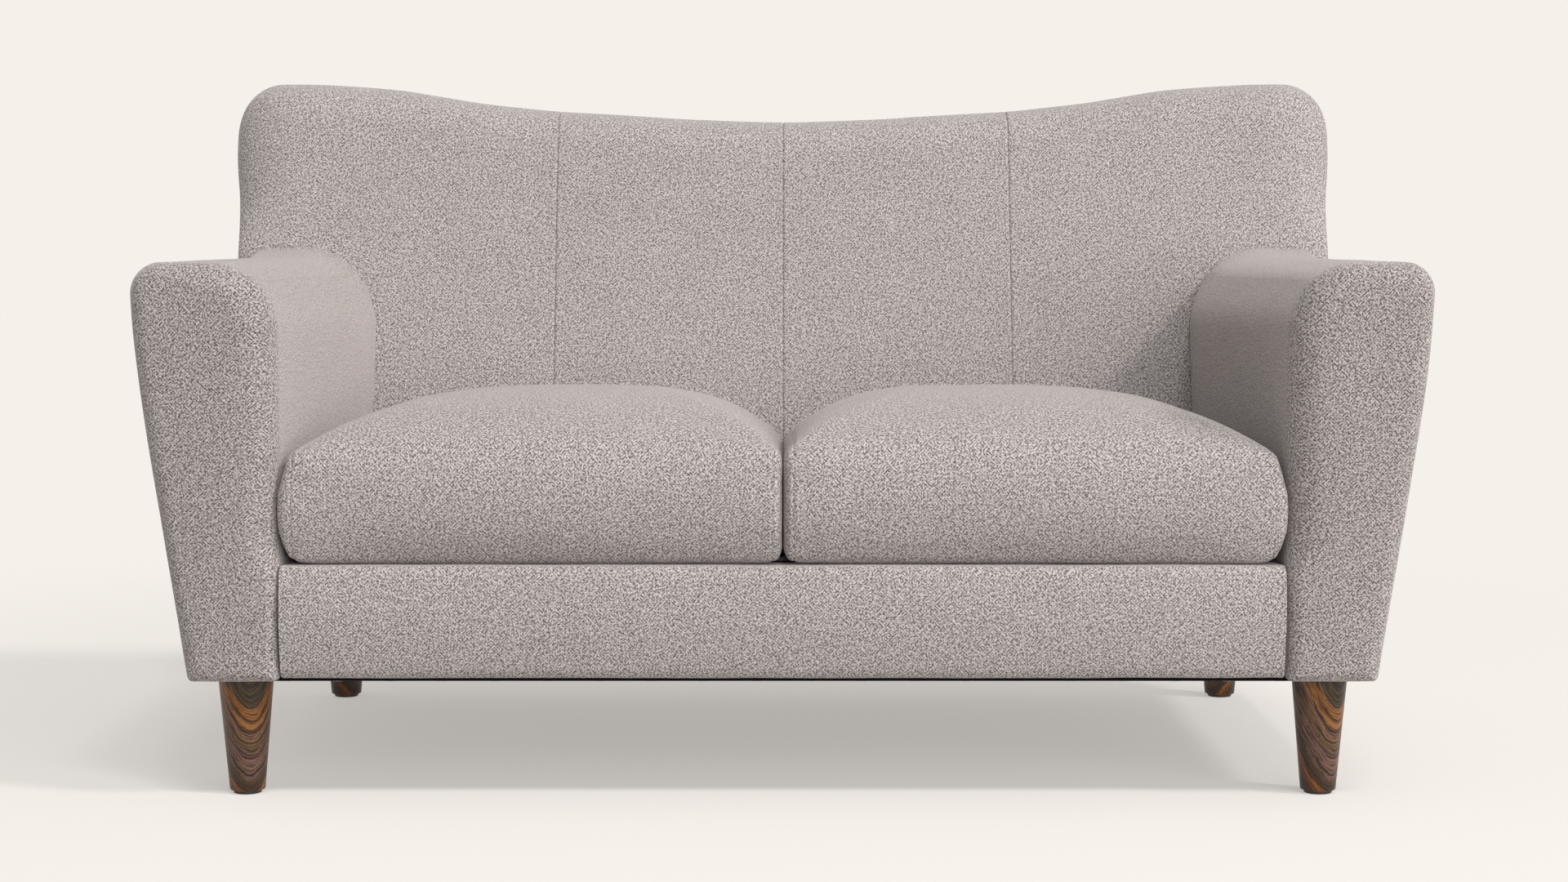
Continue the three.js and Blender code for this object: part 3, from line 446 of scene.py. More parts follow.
@dataclass(frozen=True)
class WovenMelange(Finish):
    """Woven wool-blend upholstery cloth: a broken twill of melange yarns, each spun from light and dark fibres.

    The floats slant one way and then the other in small fields, so the eye sees fine salt and pepper with short
    slanting strokes. The crossings stand up as small pillows, with painted shade darkening the grooves between
    them, and the nap gives grazing faces a soft pale bloom.
    The real yarns are finer than a millimetre: flecks and twill are drawn at about 2 mm, as coarse as they need
    to be to show.
    """

    light: str = "#d8d0cd"
    middle: str = "#aaa29f"
    dark: str = "#66605d"
    pitch: float = 2.1
    fleck: float = 2.05
    run: float = 1.5
    field_size: float = 7.0
    wobble: float = 2.0
    twill_share: float = 0.14
    lows: float = 0.34
    highs: float = 0.66
    # groove: how dark the cloth is painted in the grooves between the crossings, as painted shade.
    groove: float = 0.86
    sheen: float = 0.75

    def flat_place(self, tree: bpy.types.NodeTree) -> bpy.types.NodeSocket:
        """Lays the cloth flat on each face: across and up on fronts, along and up on sides, and level on tops."""
        coordinates = add_node(tree, "ShaderNodeTexCoord")
        facing = add_node(tree, "ShaderNodeVectorMath", {0: coordinates.outputs["Normal"]}, operation="ABSOLUTE")
        faces = add_node(tree, "ShaderNodeSeparateXYZ", {0: facing.outputs[0]})
        place = add_node(tree, "ShaderNodeSeparateXYZ", {0: coordinates.outputs["Object"]})
        side, top = (
            add_node(tree, "ShaderNodeMath", {0: faces.outputs[axis], 1: 0.7}, operation="GREATER_THAN").outputs[0]
            for axis in ("X", "Z")
        )
        along = add_node(tree, "ShaderNodeMix", {0: side, 2: place.outputs["X"], 3: place.outputs["Y"]}).outputs[0]
        up = add_node(tree, "ShaderNodeMix", {0: top, 2: place.outputs["Z"], 3: place.outputs["Y"]}).outputs[0]
        return add_node(tree, "ShaderNodeCombineXYZ", {"X": along, "Y": up}).outputs[0]

    def paint(self, tree: bpy.types.NodeTree, surface: bpy.types.Node) -> None:
        """Slants the floats by fields, flecks the yarns, and adds the pillows, painted shade in their grooves, and the
        nap.
        """
        flat = self.flat_place(tree)
        per_metre = 1 / (self.pitch * METRES)
        flipped = add_node(tree, "ShaderNodeMapping", {"Vector": flat, "Scale": (-1.0, 1.0, 1.0)}).outputs[0]
        slants = [
            add_node(tree, "ShaderNodeTexWave", {
                "Vector": way, "Scale": math.pi * per_metre / 10, "Distortion": self.wobble,
                "Detail": 1.0, "Detail Scale": 0.3}, bands_direction="DIAGONAL").outputs["Fac"]
            for way in (flat, flipped)
        ]
        field_noise = add_node(tree, "ShaderNodeTexNoise", {
            "Vector": flat, "Scale": 1 / (self.field_size * METRES), "Detail": 0.0}, noise_dimensions="2D")
        leaning = add_node(tree, "ShaderNodeMapRange", {
            "Value": field_noise.outputs["Fac"], 1: 0.42, 2: 0.58}).outputs[0]
        twill = add_node(tree, "ShaderNodeMix", {0: leaning, 2: slants[0], 3: slants[1]}).outputs[0]
        floats = []
        for quarter in (-1, 1):
            drawn = add_node(tree, "ShaderNodeMapping", {
                "Vector": flat, "Rotation": (0.0, 0.0, quarter * math.pi / 4), "Scale": (self.run, 1.0, 1.0)},
                vector_type="TEXTURE").outputs[0]
            floats.append(add_node(tree, "ShaderNodeTexNoise", {
                "Vector": drawn, "Scale": 1 / (self.fleck * METRES), "Detail": 1.0, "Roughness": 0.5},
                noise_dimensions="2D").outputs["Fac"])
        flecks = add_node(tree, "ShaderNodeMix", {0: leaning, 2: floats[0], 3: floats[1]}).outputs[0]
        tone = add_node(tree, "ShaderNodeMix", {0: self.twill_share, 2: flecks, 3: twill}).outputs[0]
        colour = add_node(tree, "ShaderNodeValToRGB", {"Fac": tone}, stops=(
            (self.lows, self.dark), (0.5, self.middle), (self.highs, self.light))).outputs["Color"]
        crossings = add_node(tree, "ShaderNodeMath", {0: slants[0], 1: slants[1]}, operation="SUBTRACT").outputs[0]
        pillow = add_node(tree, "ShaderNodeMath", {0: crossings}, operation="ABSOLUTE").outputs[0]
        nap = add_node(tree, "ShaderNodeTexNoise", {
            "Vector": add_node(tree, "ShaderNodeTexCoord").outputs["Object"], "Scale": 11.0, "Detail": 2.0})
        lift = add_node(tree, "ShaderNodeMapRange", {
            "Value": nap.outputs["Fac"], 1: 0.3, 2: 0.7, 3: 0.97, 4: 1.03}).outputs[0]
        # Painted shade: the colour falls to groove in the hollows between the crossings; elsewhere it takes the nap's
        # random tone.
        shade = add_node(tree, "ShaderNodeMapRange", {
            "Value": pillow, 1: 0.0, 2: 0.4, 3: self.groove, 4: lift}).outputs[0]
        shaded = add_node(tree, "ShaderNodeMix", {0: 1.0, 6: colour, 7: shade},
                          data_type="RGBA", blend_type="MULTIPLY").outputs[2]
        relief = add_node(tree, "ShaderNodeBump", {
            "Height": pillow, "Strength": 0.5, "Distance": 0.0006}).outputs["Normal"]
        feed(surface, {
            "Base Color": shaded, "Normal": relief, "Roughness": 0.92, "Specular IOR Level": 0.2,
            "Sheen Weight": self.sheen, "Sheen Roughness": 0.45, "Sheen Tint": linear(self.light)})


@dataclass(frozen=True)
class OiledRosewood(Finish):
    """Rosewood, turned and oiled: dark growth lines arch over orange and mauve-brown wood, under a satin gloss.

    The growth rings stand round a slanting heart outside the leg, so the turning cuts them into nested arches.
    """

    heart_distance: float = 0.112
    heart_slant: float = 32.0
    ring_range: tuple[float, float] = (0.012, 0.11)
    bands: tuple[tuple[float, str], ...] = (
        (0.0, "#483716"), (0.15, "#4b381a"), (0.2, "#8f5922"), (0.31, "#94602a"),
        (0.38, "#7d5843"), (0.47, "#664b2c"), (0.57, "#7c594c"), (0.68, "#6e5243"),
        (0.75, "#4c3620"), (0.81, "#422a14"), (0.87, "#9c5a20"), (0.95, "#473019"),
    )

    def paint(self, tree: bpy.types.NodeTree, surface: bpy.types.Node) -> None:
        """Draws the rings' bands, their fine dark lines and the long pores."""
        place = add_node(tree, "ShaderNodeAttribute", attribute_name="grain").outputs["Vector"]
        turned = add_node(tree, "ShaderNodeMapping", {
            "Vector": place, "Location": (0.0, self.heart_distance, 0.0),
            "Rotation": (math.radians(self.heart_slant), 0, 0)}).outputs[0]
        wander = add_node(tree, "ShaderNodeTexNoise", {
            "Vector": turned, "Scale": 30.0, "Detail": 3.0, "Roughness": 0.6}).outputs["Color"]
        moved = add_node(tree, "ShaderNodeVectorMath", {0: wander, 1: (0.5, 0.5, 0.5)},
                         operation="SUBTRACT").outputs[0]
        bent = add_node(tree, "ShaderNodeVectorMath", {0: moved, 1: (0.0075, 0.0075, 0.0), 2: turned},
                        operation="MULTIPLY_ADD").outputs[0]
        level = add_node(tree, "ShaderNodeVectorMath", {0: bent, 1: (1, 1, 0)}, operation="MULTIPLY").outputs[0]
        ring = add_node(tree, "ShaderNodeVectorMath", {0: level}, operation="LENGTH").outputs["Value"]
        share = add_node(tree, "ShaderNodeMapRange", {
            "Value": ring, 1: self.ring_range[0], 2: self.ring_range[1]}).outputs[0]
        wood = add_node(tree, "ShaderNodeValToRGB", {"Fac": share}, stops=self.bands).outputs["Color"]
        height = add_node(tree, "ShaderNodeSeparateXYZ", {0: turned}).outputs["Z"]
        drift = add_node(tree, "ShaderNodeMath", {0: height, 1: 0.045}, operation="MULTIPLY").outputs[0]
        strip = add_node(tree, "ShaderNodeCombineXYZ", {"X": ring, "Y": drift}).outputs[0]
        fine = add_node(tree, "ShaderNodeTexNoise", {
            "Vector": strip, "Scale": 480.0, "Detail": 4.0, "Roughness": 0.7},
            noise_dimensions="2D").outputs["Fac"]
        lines = add_node(tree, "ShaderNodeValToRGB", {"Fac": fine}, stops=(
            (0.4, "#201814"), (0.47, "#8d8078"), (0.53, "#ffffff"))).outputs["Color"]
        grained = add_node(tree, "ShaderNodeMix", {0: 0.9, 6: wood, 7: lines},
                           data_type="RGBA", blend_type="MULTIPLY").outputs[2]
        stretched = add_node(tree, "ShaderNodeMapping", {"Vector": turned, "Scale": (1, 1, 0.12)}).outputs[0]
        pores = add_node(tree, "ShaderNodeTexNoise", {
            "Vector": stretched, "Scale": 900.0, "Detail": 2.0}).outputs["Fac"]
        flecks = add_node(tree, "ShaderNodeMapRange", {"Value": pores, 1: 0.35, 2: 0.55, 3: 0.6, 4: 1.15}).outputs[0]
        colour = add_node(tree, "ShaderNodeMix", {0: 1.0, 6: grained, 7: flecks},
                          data_type="RGBA", blend_type="MULTIPLY").outputs[2]
        relief = add_node(tree, "ShaderNodeBump", {
            "Height": fine, "Strength": 0.12, "Distance": 0.0004}).outputs["Normal"]
        feed(surface, {
            "Base Color": colour, "Normal": relief, "Roughness": 0.42, "Specular IOR Level": 0.35,
            "Coat Weight": 0.1, "Coat Roughness": 0.25})


@dataclass(frozen=True)
class SawnTimber(Finish):
    """Planed softwood for a hidden frame: pale bands of summer and winter wood along each board."""

    along: tuple[float, float, float] = (1.0, 14.0, 14.0)
    light: str = "#d9bd8f"
    dark: str = "#b98f5c"

    def paint(self, tree: bpy.types.NodeTree, surface: bpy.types.Node) -> None:
        """Stretches noise along the board for its grain."""
        place = add_node(tree, "ShaderNodeTexCoord").outputs["Object"]
        stretched = add_node(tree, "ShaderNodeMapping", {"Vector": place, "Scale": self.along}).outputs[0]
        grain = add_node(tree, "ShaderNodeTexNoise", {
            "Vector": stretched, "Scale": 18.0, "Detail": 6.0, "Distortion": 0.6}).outputs["Fac"]
        colour = add_node(tree, "ShaderNodeValToRGB", {"Fac": grain}, stops=(
            (0.35, self.dark), (0.6, self.light))).outputs["Color"]
        relief = add_node(tree, "ShaderNodeBump", {
            "Height": grain, "Strength": 0.2, "Distance": 0.0005}).outputs["Normal"]
        feed(surface, {"Base Color": colour, "Normal": relief, "Roughness": 0.7})


@dataclass(frozen=True)
class DrawnSteel(Finish):
    """Drawn steel wire and rod with a bright zinc coat, slightly clouded."""

    def paint(self, tree: bpy.types.NodeTree, surface: bpy.types.Node) -> None:
        """Clouds the coat's colour and gloss."""
        place = add_node(tree, "ShaderNodeTexCoord").outputs["Object"]
        cloud = add_node(tree, "ShaderNodeTexNoise", {"Vector": place, "Scale": 160.0, "Detail": 3.0}).outputs["Fac"]
        colour = add_node(tree, "ShaderNodeValToRGB", {"Fac": cloud}, stops=(
            (0.3, "#8e9294"), (0.7, "#c4c8ca"))).outputs["Color"]
        gloss = add_node(tree, "ShaderNodeMapRange", {"Value": cloud, 3: 0.28, 4: 0.45}).outputs[0]
        feed(surface, {"Base Color": colour, "Roughness": gloss, "Metallic": 1.0})


@dataclass(frozen=True)
class PlainWeave(Finish):
    """A thin plain-weave or spun cloth: fine crossed threads with dark gaps between them."""

    thread: float = 0.9
    light: str = "#3a393a"
    dark: str = "#1d1c1d"

    def paint(self, tree: bpy.types.NodeTree, surface: bpy.types.Node) -> None:
        """Crosses two waves of threads, drawn a little coarser than they are so that they show."""
        place = add_node(tree, "ShaderNodeTexCoord").outputs["Object"]
        waves = [
            add_node(tree, "ShaderNodeTexWave", {
                "Vector": place, "Scale": math.tau / (20 * self.thread * METRES), "Distortion": 1.2,
                "Detail": 1.0, "Detail Scale": 0.4}, bands_direction=axis).outputs["Fac"]
            for axis in ("X", "Y")
        ]
        weave = add_node(tree, "ShaderNodeMath", {0: waves[0], 1: waves[1]}, operation="MULTIPLY").outputs[0]
        colour = add_node(tree, "ShaderNodeValToRGB", {"Fac": weave}, stops=(
            (0.1, self.dark), (0.6, self.light))).outputs["Color"]
        relief = add_node(tree, "ShaderNodeBump", {
            "Height": weave, "Strength": 0.4, "Distance": 0.0003}).outputs["Normal"]
        feed(surface, {"Base Color": colour, "Normal": relief, "Roughness": 0.85, "Specular IOR Level": 0.25})


@dataclass(frozen=True)
class NeedledFelt(Finish):
    """Needled recycled felt: matted grey fibres with flecks of other colours."""

    def paint(self, tree: bpy.types.NodeTree, surface: bpy.types.Node) -> None:
        """Mats fine noise and scatters flecks."""
        place = add_node(tree, "ShaderNodeTexCoord").outputs["Object"]
        mat = add_node(tree, "ShaderNodeTexNoise", {"Vector": place, "Scale": 380.0, "Detail": 5.0}).outputs["Fac"]
        colour = add_node(tree, "ShaderNodeValToRGB", {"Fac": mat}, stops=(
            (0.35, "#5f5d5a"), (0.5, "#8b8984"), (0.66, "#a9a49b"))).outputs["Color"]
        relief = add_node(tree, "ShaderNodeBump", {
            "Height": mat, "Strength": 0.6, "Distance": 0.001}).outputs["Normal"]
        feed(surface, {"Base Color": colour, "Normal": relief, "Roughness": 1.0})


@dataclass(frozen=True)
class MouldedPlastic(Finish):
    """Moulded polythene or nylon: one colour with a faint eggshell texture."""

    colour: str = "#2c2a28"
    roughness: float = 0.5

    def paint(self, tree: bpy.types.NodeTree, surface: bpy.types.Node) -> None:
        """Mottles the colour slightly and gives the skin an eggshell relief."""
        place = add_node(tree, "ShaderNodeTexCoord").outputs["Object"]
        skin = add_node(tree, "ShaderNodeTexNoise", {"Vector": place, "Scale": 900.0, "Detail": 2.0}).outputs["Fac"]
        lift = add_node(tree, "ShaderNodeMapRange", {"Value": skin, 3: 0.85, 4: 1.15}).outputs[0]
        colour = add_node(tree, "ShaderNodeMix", {0: 1.0, 6: linear(self.colour), 7: lift},
                          data_type="RGBA", blend_type="MULTIPLY").outputs[2]
        relief = add_node(tree, "ShaderNodeBump", {
            "Height": skin, "Strength": 0.15, "Distance": 0.0002}).outputs["Normal"]
        feed(surface, {"Base Color": colour, "Normal": relief, "Roughness": self.roughness})


@dataclass(frozen=True)
class Finishes:
    """Every finish on the sofa."""

    # The arms' cloth is a darker copy of the seat cloth and the back's a slightly lighter copy: painted shade on the
    # arms and painted light on the back, tinted per part for how bright each part renders.
    arm_cloth: Finish = WovenMelange(
        "woven_melange_cloth_arms", light="#cec6c3", middle="#9e9693", dark="#5b5350", sheen=1.2)
    back_cloth: Finish = WovenMelange("woven_melange_cloth_back", light="#d8d0cd", middle="#afa7a4", dark="#6d6663")
    seat_cloth: Finish = WovenMelange("woven_melange_cloth_seat")
    rail_cloth: Finish = WovenMelange("woven_melange_cloth_rail")
    rosewood: Finish = OiledRosewood("oiled_rosewood_turned")
    timber_across: Finish = SawnTimber("planed_softwood_across")
    timber_upright: Finish = SawnTimber("planed_softwood_upright", along=(14.0, 14.0, 1.0))
    timber_back_to_front: Finish = SawnTimber("planed_softwood_back_to_front", along=(14.0, 1.0, 14.0))
    steel: Finish = DrawnSteel("zinc_coated_drawn_steel")
    deck_cloth: Finish = PlainWeave("cotton_deck_cloth_plain_weave", thread=1.1, light="#4a4846", dark="#2a2827")
    dust_cloth: Finish = PlainWeave("spun_bonded_dust_cloth", thread=0.8)
    webbing: Finish = PlainWeave("elastic_webbing_woven", thread=1.6, light="#6a645b", dark="#2f2c28")
    felt: Finish = NeedledFelt("needled_recycled_felt")
    glide: Finish = MouldedPlastic("polythene_glide_moulded")
    zip_tape: Finish = MouldedPlastic("nylon_zip_woven", colour="#8d8581", roughness=0.75)
    zip_metal: Finish = MouldedPlastic("enamelled_zinc_slider", colour="#7d7672", roughness=0.35)


FINISHES = Finishes()


# The sofa's own lines


@dataclass(frozen=True)
class Lines:
    """The lines that several pieces follow, in millimetres, as the CAD has them."""

    front: float = -425.0
    rear: float = 425.0
    base_height: float = 144.0
    wing_height: float = 891.0
    crest_dip: float = 54.0
    back_half_width: float = 784.0
    arm_inner_front: float = 606.0
    arm_inner_draw_in: float = 36.0
    arm_foot_half_width: float = 718.0
    arm_outer_taper: float = 9.0
    flare_slope: float = math.tan(math.radians(8.53))
    bend_start: float = 440.0
    bend_length: float = 240.0
    back_face_reach: float = 600.0
    back_set_back: float = 133.7
    seat_line: float = 467.0
    rear_set_back: float = 36.1
    outside_back_top: float = 833.0
    outside_back_thickness: float = 2.8
    deck_front_height: float = 284.6
    seat_rake: float = math.tan(math.radians(2.4))
    flare_from: float = 650.0
    flare_to: float = 800.0
    crest_reaches: tuple[float, ...] = (0, 0.18, 0.32, 0.52, 0.63, 0.73, 0.79, 0.88, 1)
    crest_rises: tuple[float, ...] = (0, 0.05, 0.17, 0.35, 0.49, 0.71, 0.84, 0.94, 1)
    crest_wing_share: float = 0.885

    @property
    def back_slope(self) -> float:
        """How far the back's face leans back for each millimetre of height."""
        return self.back_set_back / (self.wing_height - self.seat_line)

    @property
    def draw_in_reach(self) -> float:
        """The reach at which the arms' inner faces are drawn in in full."""
        return self.back_face_at(self.deck_front_height) - self.front

    def arm_outer_at(self, height: float) -> float:
        """The arm's outer half width at its front, which leans out and bends upright near the top."""
        in_bend = clamp(height - self.bend_start, 0, self.bend_length)
        past_bend = max(height - self.bend_start - self.bend_length, 0)
        straight = self.arm_foot_half_width + self.flare_slope * (height - self.base_height)
        return straight - self.flare_slope * (in_bend**2 / (2 * self.bend_length) + past_bend)

    def back_half_width_at(self, height: float) -> float:
        """The back's half width at a height, flush with the arms' rear and flaring above them."""
        at_arms = self.arm_outer_at(min(height, self.flare_from)) - self.arm_outer_taper
        return lerp(at_arms, self.back_half_width, smooth_share(self.flare_from, self.flare_to, height))

    def back_face_at(self, height: float) -> float:
        """Where the back's front face is, front to rear, at a height."""
        return self.front + self.back_face_reach + (height - self.seat_line) * self.back_slope

    def deck_height_at(self, reach: float) -> float:
        """The height of the seat's deck at a reach behind the front of the arms."""
        return self.deck_front_height - reach * self.seat_rake

    def outside_back_at(self, height: float) -> float:
        """Where the outside of the rear panel is at a height."""
        slope = self.rear_set_back / (self.outside_back_top - self.base_height)
        return self.rear - (self.outside_back_top - height) * slope

    def back_rear_at(self, height: float) -> float:
        """Where the back's wrap lies behind, under the rear panel."""
        return self.outside_back_at(height) - self.outside_back_thickness

    def seat_half_width_at(self, reach: float) -> float:
        """Half the width between the arms at a reach."""
        return self.arm_inner_front - self.arm_inner_draw_in * reach / self.draw_in_reach

    def crest_at(self, x: float) -> float:
        """The height of the crest, low at the middle and high at the wings, as a smooth curve."""
        places = [share * self.crest_wing_share * self.back_half_width for share in self.crest_reaches]
        low = self.wing_height - self.crest_dip
        reach = abs(x)
        if reach >= places[-1]:
            return self.wing_height
        i = next(k for k in range(1, len(places)) if places[k] > reach)
        heights = [low + rise * self.crest_dip for rise in self.crest_rises]

        def tangent(k: int) -> float:
            """The curve's slope at one of its points."""
            if k in (0, len(places) - 1):
                return 0.0
            return (heights[k + 1] - heights[k - 1]) / (places[k + 1] - places[k - 1])

        span = places[i] - places[i - 1]
        t = (reach - places[i - 1]) / span
        return (
            heights[i - 1] * (2 * t**3 - 3 * t**2 + 1) + tangent(i - 1) * span * (t**3 - 2 * t**2 + t)
            + heights[i] * (3 * t**2 - 2 * t**3) + tangent(i) * span * (t**3 - t**2)
        )


LINES = Lines()


@dataclass(frozen=True)
class Seam:
    """A sewn seam: a narrow groove between two low shoulders of turned-in cloth."""

    depth: float
    half_width: float
    shoulder: float
    shoulder_reach: float

    def relief_at(self, distance: float) -> float:
        """The height of the cloth, in millimetres, at a distance from the seam."""
        reach = abs(distance)
        groove = -self.depth * math.exp(-((reach / self.half_width) ** 2))
        return groove + self.shoulder * math.exp(-(((reach - self.shoulder_reach) / self.half_width) ** 2))


# Upholstered frame


@dataclass(frozen=True)
class Arm:
    """One upholstered arm: a flared, bent section with a soft front, from the floor line to the back's face."""

    side: Side
    front_top: float = 648.0
    top_rise: float = 3.0
    rear_tilt: float = 10.0
    tilt_from: float = 560.0
    foot_radius: float = 8.0
    top_inner_radius: float = 85.0
    rear_inner_radius: float = 112.0
    top_outer_radius: float = 32.0
    inner_roll: float = 46.0
    low_roll: float = 20.0
    top_roll: float = 30.0
    outer_roll: float = 22.0
    foot_roll: float = 14.0
    roll_change: tuple[float, float] = (262.0, 312.0)
    smallest_radius: float = 1.5
    rear_roll: float = 5.0
    join_length: float = 80.0
    join_rise: float = 16.0
    join_end: float = 766.0
    join_fade: float = 26.0
    front_crown: float = 1.5
    front_steps: int = 14
    body_steps: int = 26
    rear_steps: int = 4
    front_cap: int = 8
    rear_cap: int = 3
    join_shares: tuple[float, ...] = (0.93, 0.95, 0.97, 0.98, 0.985)
    swells: tuple[tuple[float, float], ...] = ((130, 0.9), (46, 0.25))
    arc_steps: tuple[int, int, int, int] = (3, 18, 10, 3)
    side_steps: tuple[int, int, int, int] = (34, 9, 34, 8)

    def section(self, share: float, insets: Sequence[float]) -> list[tuple[float, float, SectionPoint, float]]:
        """The arm's section at a share of its length.

        Args:
            share: 0 at the front and 1 at the back's face.
            insets: How far each side moves in: inner, top, outer and foot.

        Returns:
            X and Z for each point, the point itself, and how much it belongs to the inner side.
        """
        inner = LINES.arm_inner_front - LINES.arm_inner_draw_in * share
        top = self.front_top + self.top_rise * share

        def outer_at(height: float) -> float:
            """The straight flared side at a height."""
            lean = LINES.flare_slope * (height - LINES.base_height)
            return LINES.arm_foot_half_width - LINES.arm_outer_taper * share + lean

        foot = LINES.base_height
        corners = inset_corners([
            Vector((inner, foot)), Vector((inner, top)), Vector((outer_at(top), top)), Vector((outer_at(foot), foot)),
        ], insets)
        inner_radius = lerp(self.top_inner_radius, self.rear_inner_radius, share)
        plain = (self.foot_radius, inner_radius, self.top_outer_radius, self.foot_radius)
        radii = shrunk_radii(plain, insets, self.smallest_radius)
        found = []
        for point in rounded_section(corners, radii, self.arc_steps, self.side_steps):
            x, z = point.at
            bend = outer_at(z) + LINES.arm_outer_taper * share - LINES.arm_outer_at(z)
            across = clamp((x - inner) / (outer_at(z) - inner))
            on_inner = 1.0 if point.corner == 0 else point.sides[0]
            tilt = self.rear_tilt * share * across * smooth_share(self.tilt_from, self.front_top, z)
            found.append((x - bend * across, z - tilt, point, on_inner))
        return found

    def rolls_at(self, height: float) -> list[float]:
        """The radii of the front edges at a height: inner, top, outer and foot."""
        change = smooth_share(*self.roll_change, height)
        return [lerp(self.low_roll, self.inner_roll, change), self.top_roll, self.outer_roll, self.foot_roll]

    def rise_at(self, to_back: float) -> float:
        """How much the top has lifted, in a hollow curve, at a distance in front of the back's face."""
        return self.join_rise * (1 - math.sqrt(1 - clamp(1 - to_back / self.join_length)**2))

    def rings(self) -> list[list[Vector]]:
        """Rings from the middle of the front to the middle of the rear end."""
        widest = self.rolls_at(self.front_top)
        rings = []
        for share in steps(self.front_steps):
            turn = math.pi / 2 * share
            ring = []
            for x, z, point, on_inner in self.section(0, [roll * (1 - math.sin(turn)) for roll in widest]):
                rolls = self.rolls_at(z)
                spare = (widest[0] - rolls[0]) * (1 - math.sin(turn)) * on_inner
                ring.append(Vector((x - spare, LINES.front + weighed(point.sides, rolls) * (1 - math.cos(turn)), z)))
            rings.append(ring)
        starts = rings[-1]
        length = LINES.back_face_reach - self.inner_roll
        body = [(share, 0.0) for share in sorted({*steps(self.body_steps)[1:-1], *self.join_shares})]
        rear = [
            (1 - self.rear_roll * (1 - math.sin(turn)) / length, self.rear_roll * (1 - math.cos(turn)))
            for turn in (math.pi / 2 * k for k in steps(self.rear_steps))
        ]
        for share, inset in [pair for pair in body if pair[0] < rear[0][0]] + rear:
            ring = []
            for i, (x, z, point, _) in enumerate(self.section(share, [inset, 0, inset, inset])):
                inner_share = clamp((self.join_end - x) / self.join_fade)
                z += self.rise_at((1 - share) * length) * point.sides[1] * inner_share
                ring.append(Vector((x, lerp(starts[i].y, LINES.back_face_at(z), share), z)))
            rings.append(ring)
        rings = capped(rings, self.front_cap, crown=(0, -self.front_crown, 0))
        return capped(rings, self.rear_cap, at_start=False)

    def build(self) -> bpy.types.Object:
        """Makes the arm's piece and hides the CAD nodes that it stands in for."""
        bm = skin_over(mirrored(self.rings(), self.side.value))
        shift_along_normals(bm, lambda place, normal: settle(place, *self.swells))
        name = self.side.word
        arm = piece_from(f"{name}_arm", bm, FINISHES.arm_cloth, "frame", sharp=80)
        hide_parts(f"{name}_arm_cover", f"{name}_arm_foam")
        return arm


